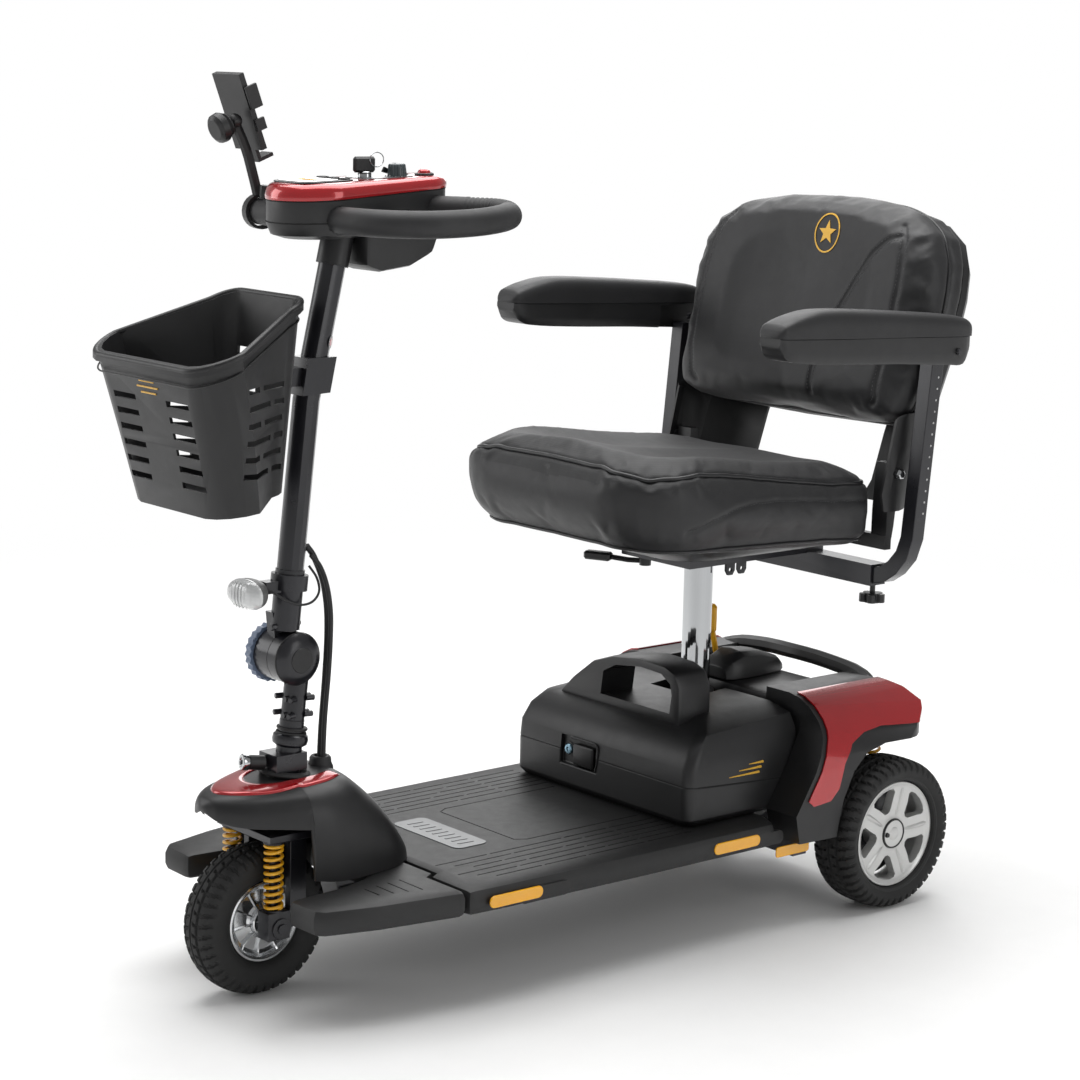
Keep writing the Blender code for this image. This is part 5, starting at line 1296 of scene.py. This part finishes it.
panel_plate("display_frame", rounded(-0.043, 0.043, -0.515, -0.428, 0.022), -0.0004, 0.0016, "satin_black",
            0.0006)
panel_plate("display_glass", rounded(-0.036, 0.036, -0.508, -0.452, 0.012), 0.0012, 0.0024, "glass", 0.0004)
for i in range(5):
    x = -0.022 + 0.0095 * i
    panel_plate("display_bar_%d" % i, rounded(x, x + 0.0065, -0.487, -0.472, 0.001, 2), 0.0022, 0.0028,
                "gold" if i < 4 else "white_print", 0.0001)
for i, x in enumerate((-0.024, 0.0, 0.024)):
    panel_plate("console_key_%d" % i, rounded(x - 0.008, x + 0.008, -0.446, -0.4335, 0.004), 0.0012, 0.0034,
                "rubber", 0.0006)
panel_plate("control_plate", rounded(-0.03, 0.036, -0.408, -0.326, 0.018), -0.0004, 0.0009, "badge", 0.0003)
ticks = []
for k in range(10):
    a = math.radians(-135 + 30 * k)
    d = Vector((math.cos(a), math.sin(a), 0))
    level = DIAL_AT + CONSOLE_UP * 0.0011
    ticks.append(sweep([level + d * 0.0148, level + d * (0.0165 + 0.0003 * k)], 0.0005, 6))
make("dial_ticks", merged(ticks), "white_print", "tiller")


def fluted(count, deep, rows):
    """A wave for lathe() that flutes some rows of its profile."""
    return lambda a, i: 1 - (deep if i in rows and math.sin(a * count) > 0 else 0.0)


turned("dial_knob", "dial_grey", "dial", [(0, 0.0175), (0.0092, 0.0174), (0.0105, 0.0168), (0.0115, 0.0155),
       (0.0124, 0.008), (0.013, 0.0015), (0.0133, 0.0013), (0.0133, 0.0011), (0, 0.0011)], DIAL_AT,
       CONSOLE_UP, 144, wave=fluted(18, 0.06, range(2, 6)), replaces=("speed_dial",), smooth=40)
dial_top = DIAL_AT + CONSOLE_UP * 0.0176
make("dial_pointer", sweep([dial_top - Vector((0.0025, 0, 0)), dial_top - Vector((0.0088, 0, 0))], 0.0007, 6),
     "white_print", "dial")
turned("horn_bezel", "satin_black", "tiller", [(0.0101, -0.003), (0.0101, 0.0022), (0.0112, 0.0028),
       (0.0128, 0.0022), (0.0136, -0.0006)], HORN_AT, CONSOLE_UP, 48, closed=True)
turned("horn_cap", "red", "horn", [(0, 0.0085), (0.003, 0.0083), (0.006, 0.0074), (0.0081, 0.0056),
       (0.0092, 0.0028), (0.0095, 0.0), (0, 0.0)], HORN_AT, CONSOLE_UP, 48, replaces=("horn_button",))
turned("key_barrel", "chrome", "key", [(0, 0.0082), (0.0068, 0.0082), (0.0082, 0.0072), (0.009, 0.005),
       (0.0092, 0.0011), (0, 0.0011)], KEY_AT, CONSOLE_UP, 48, slot="satin_black")
ring_line = [KEY_AT + Vector((0.004, 0.0165 + 0.0112 * math.cos(a), 0.0235 + 0.0112 * math.sin(a) * 0.85))
             for a in (2 * math.pi * k / 36 for k in range(36))]
make("key_ring", sweep(ring_line, 0.0007, 8, closed=True), "chrome", "key", slot="silver")


def key_plate(name, outline, x, thick, material):
    """Flat part of the spare key, from a (y, z) outline beside the key switch."""
    rings = [[KEY_AT + Vector((x + dx, y, z)) for y, z in outline] for dx in (0.0, thick)]
    return make(name, skin(rings), material, "key", smooth=30)


soften(key_plate("key_spare", ((0.022, 0.0075), (0.034, 0.0045), (0.047, 0.0035), (0.049, 0.0075),
                               (0.036, 0.0105), (0.026, 0.0145)), 0.0055, 0.0035, "satin_black"), 0.001)
key_plate("key_spare_blade", ((0.047, 0.0042), (0.066, 0.0018), (0.067, 0.004), (0.062, 0.006),
                              (0.048, 0.0072)), 0.0064, 0.0016, "polished")


# ---------------------------------------------------------------- handlebars
HANDLE = ((0.03, -0.472, 1.039), (0.09, -0.474, 1.039), (0.146, -0.461, 1.039), (0.191, -0.418, 1.04),
          (0.198, -0.35, 1.0425), (0.177, -0.289, 1.047), (0.13, -0.266, 1.0495), (0.08, -0.288, 1.0495),
          (0.02, -0.312, 1.0485))
PADDLE_EDGE = ((0.058, -0.3925), (0.08, -0.398), (0.104, -0.4065), (0.1165, -0.398), (0.1155, -0.3785),
               (0.095, -0.3695), (0.066, -0.374))


def grip(share, i, angle):
    """Radius along a handlebar: ribs on the returning part, between two flanges."""
    if 0.665 < share < 0.845:
        return 0.0176 - (0.0012 if i % 4 < 2 else 0.0)
    return 0.0181 if 0.655 < share < 0.855 else 0.0178


for s, tag in SIDES:
    line = even(curve_through([at(s * x, y, z) for x, y, z in HANDLE], 14), 0.0016)
    make("handle_" + tag, sweep(line, grip, 28), "rubber", "tiller", replaces=("handlebar_" + tag,),
         smooth=50)
for s, tag in SIDES:
    edge = curve_through([at(s * x, y, 1.044) for x, y in PADDLE_EDGE], 8)
    make("paddle_edge_" + tag, sweep(edge, 0.0021, 8), "chrome", "paddle", slot="silver", smooth=80)
turned("phone_screw", "satin_black", "phone_clamp", [(0, 0.016), (0.0062, 0.016), (0.0072, 0.0145),
       (0.0066, 0.003), (0.0066, -0.002), (0, -0.002)], at(-0.112, -0.472, 1.0585), (0.1, 0, 1), 36,
       wave=fluted(12, 0.07, (1, 2, 3)))


# ---------------------------------------------------------------- basket
BASKET_REAR, BASKET_FRONT = (0.09, -0.5395, 0.941), (0.147, -0.725, 0.866)     # half width, y, rim height


def basket_line(inset, lift):
    """The rim's line, drawn in by inset, with its front bowed forward."""
    wr, yr, wf, yf = (BASKET_REAR[0] - inset, BASKET_REAR[1] - inset, BASKET_FRONT[0] - inset,
                      BASKET_FRONT[1] + inset)
    r1, r2 = 0.03 - inset * 0.5, 0.045 - inset * 0.5
    out = []
    for x, y in arcs(((wf - r2, yf + r2, -90, r2), (wr - r1, yr - r1, 0, r1), (r1 - wr, yr - r1, 90, r1),
                      (r2 - wf, yf + r2, 180, r2)), 12):
        if (y - yr) / (yf - yr) > 0.7:
            y -= 0.012 * (1 - (x / wf) ** 2)
        forward = (y - BASKET_REAR[1]) / (BASKET_FRONT[1] - BASKET_REAR[1])
        out.append(at(x, y, BASKET_REAR[2] + (BASKET_FRONT[2] - BASKET_REAR[2]) * forward + lift))
    return out


for name, inset, lift, radius, sides in (("basket_rim", -0.0008, -0.0008, 0.0042, 12),
                                         ("basket_step", 0.0012, -0.0225, 0.0012, 8)):
    line = even(basket_line(inset, lift), 0.006, True)
    make(name, sweep(line, radius, sides, closed=True), "satin_black", "basket_body", smooth=80)
basket_tree = surface_of(NODES["basket"])
spot = basket_tree.find_nearest(at(0, -0.76, 0.822))[0]
bars = []
for dz, wide in ((0.008, 0.017), (0.0, 0.024), (-0.008, 0.017)):
    line = [spot + Vector((-wide + 2 * wide * k / 8, 0, dz)) for k in range(9)]
    bars.append(sweep(snapped(line, basket_tree, 0.0001), 0.0013, 8))
make("basket_mark", merged(bars), "gold", "basket_body")
DOT_AT = at(0.0135, tube_y(0.876) + 0.0117, 0.876)
DOT_OUT = (0.75, 0.66, -0.14)
turned("tiller_dot", "white_print", "tiller", [(0, 0.0006), (0.0088, 0.0005), (0.009, 0.0)], DOT_AT,
       DOT_OUT, 32)
turned("tiller_dot_mid", "red", "tiller", [(0, 0.0011), (0.0052, 0.001), (0.0056, 0.0004)], DOT_AT,
       DOT_OUT, 32)


# ---------------------------------------------------------------- deck
DECK_TOP = 0.166
GROOVE_HALF, GROOVE_DEEP = 0.0011, 0.0012


def groove(a, b):
    """Cutter for a straight groove in the deck top, between two points in plan."""
    a, b = Vector((*a, 0)), Vector((*b, 0))
    along = (b - a).normalized() * GROOVE_HALF
    side = Vector((-along.y, along.x, 0))
    base = [a - along - side, b + along - side, b + along + side, a - along + side]
    return skin([[at(p.x, p.y, z) for p in base] for z in (DECK_TOP - GROOVE_DEEP, DECK_TOP + 0.004)])


def cut_board(name, node, cutters):
    board = make(name, node_bm(node), "deck_black", smooth=0, replaces=(node,))
    for cutter in cutters:
        carve(board, cutter)
    shade(board.data, 30)
    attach(board, "base")


dashes = []
for s, _ in SIDES:
    for i in range(6):
        x = s * (0.118 + 0.0165 * i)
        cuts = [-0.345 + 0.02 * (i % 3), -0.25 + 0.03 * (i % 2), -0.14 + 0.025 * ((i + 1) % 3), -0.03, 0.06]
        dashes += [groove((x, a + 0.004), (x, b - 0.004)) for a, b in zip(cuts, cuts[1:])]
RECESS = [(-0.094, 0.05), (-0.094, -0.16), (-0.084, -0.176), (0.084, -0.176), (0.094, -0.16), (0.094, 0.05)]
cut_board("deck_board", "rear_deck", [merged(dashes)] + [groove(a, b) for a, b in zip(RECESS, RECESS[1:])])
toe = []
for s, _ in SIDES:
    for t in (i * 0.0135 for i in range(4)):
        toe.append(groove((s * (0.14 + t * 0.1), -0.42 - t * 1.5), (s * (0.19 - t * 0.35), -0.42 - t * 1.5)))
cut_board("deck_nose", "front_deck", [merged(toe)])


def slab(name, outline, low, high, round_by):
    """Thin plate of the badge on the deck; heights from the deck top."""
    rings = [[at(x, y, DECK_TOP + h) for x, y in outline] for h in (low, high)]
    return soften(make(name, skin(rings), "badge", "base", smooth=30), round_by, 2, 30)


slab("deck_badge", rounded(-0.0766, 0.0766, -0.272, -0.214, 0.012), -0.0002, 0.001, 0.0005)
for i in range(9):
    x = -0.058 + 0.0145 * i
    slab("badge_rib_%d" % i, [(x - 0.0015, -0.256), (x + 0.0015, -0.256), (x + 0.0035, -0.23),
                              (x + 0.0005, -0.23)], 0.0008, 0.0016, 0.0002)
POCKET = (0.133, 0.153, 0.2332, 0.2399, "deck_black", 0.009, 0.0003)
REFLECTOR = (0.1375, 0.1545, 0.2385, 0.2415, "amber", 0.0082, 0.0012)
LOW_REFLECTOR = (0.1085, 0.1245, 0.2318, 0.2342, "amber", 0.004, 0.0008)
PLATES = (("pocket_fill_a_", -0.2925, -0.2045, POCKET), ("pocket_fill_b_", 0.1175, 0.2055, POCKET),
          ("reflector_front_", -0.345, -0.253, REFLECTOR), ("reflector_mid_", 0.066, 0.157, REFLECTOR),
          ("reflector_rear_", 0.198, 0.266, LOW_REFLECTOR))
for s, tag in SIDES:
    for name, y0, y1, (z0, z1, x0, x1, material, corner, round_by) in PLATES:
        rings = [[at(s * x, y, z) for y, z in rounded(y0, y1, z0, z1, corner)] for x in (x0, x1)]
        soften(make(name + tag, skin(rings), material, "base", smooth=30), round_by, 3, 30)


# ---------------------------------------------------------------- battery details
SEAM = ((0.1947, 0.26), (0.1947, 0.075), (0.189, 0.0605), (0.176, 0.0548), (-0.006, 0.0548))
seam_line = [at(x, y, 0.2266 - 0.014 * (y - 0.055) / 0.22) for x, y in SEAM]
make("battery_seam", sweep(seam_line, 0.0007, 6), "dark_hole", "battery")
turned("battery_port", "satin_black", "battery", [(0.0095, -0.008), (0.0095, 0.0012), (0.0115, 0.0012),
       (0.0122, -0.001), (0.0122, -0.008)], at(-0.0745, 0.0615, 0.2275), (0, -1, 0), 48, closed=True)
turned("battery_screw", "screw_blue", "battery", [(0, 0.0002), (0.0028, 0.0004), (0.0036, 0.0022),
       (0.0068, 0.002), (0.0078, 0.0008), (0.008, -0.006), (0, -0.006)], at(-0.0745, 0.0595, 0.2275),
       (0, -1, 0), 40)
LIP = ((-0.064, 0.2485), (-0.03, 0.2488), (-0.0095, 0.248), (-0.0035, 0.241), (-0.0045, 0.222),
       (-0.0085, 0.206))
lip_line = curve_through([at(x, 0.0548, z) for x, z in LIP], 8)
make("latch_lip", sweep(lip_line, 0.0016, 8), "satin_black", "battery", smooth=80)
side_tree = surface_of(NODES["battery_cover"])
stripes = []
for i, (y, long) in enumerate(((0.165, 0.03), (0.177, 0.022), (0.189, 0.014))):
    line = [at(0.21, y - long + 2 * long * k / 6, 0.2315 + 0.0072 * i) for k in range(7)]
    stripes.append(sweep(snapped(line, side_tree, 0.0001), lambda share, *_: 0.0006 + 0.0014 * share, 8))
make("battery_mark", merged(stripes), "gold", "battery")


# ---------------------------------------------------------------- seat hardware
for s, tag in SIDES:
    foot, head = at(s * 0.2788, 0.4255, 0.567), at(s * 0.2793, 0.4505, 0.836)
    marks = [lathe([(0, 0.0003), (0.0014, 0.0003), (0.0017, 0.0)], foot.lerp(head, 0.14 + 0.062 * k),
                   (s, 0, 0), 10) for k in range(13)]
    make("arm_marks_" + tag, merged(marks), "white_print", "arm_" + tag, smooth=30)
    turned("hinge_nut_" + tag, "chrome", "backrest", [(0, 0.0062), (0.0052, 0.006), (0.0072, 0.0048),
           (0.008, 0.0025), (0.008, 0.0), (0, 0.0)], at(s * 0.2447, 0.412, 0.66), (s, 0, 0), 6, smooth=30)
brackets = [box_bm(*sorted((s * 0.155, s * 0.232)), 0.235, 0.262, 0.1045, 0.1275) for s, _ in SIDES]
make("foot_bracket", merged(brackets), "metal_black", "base", smooth=30)
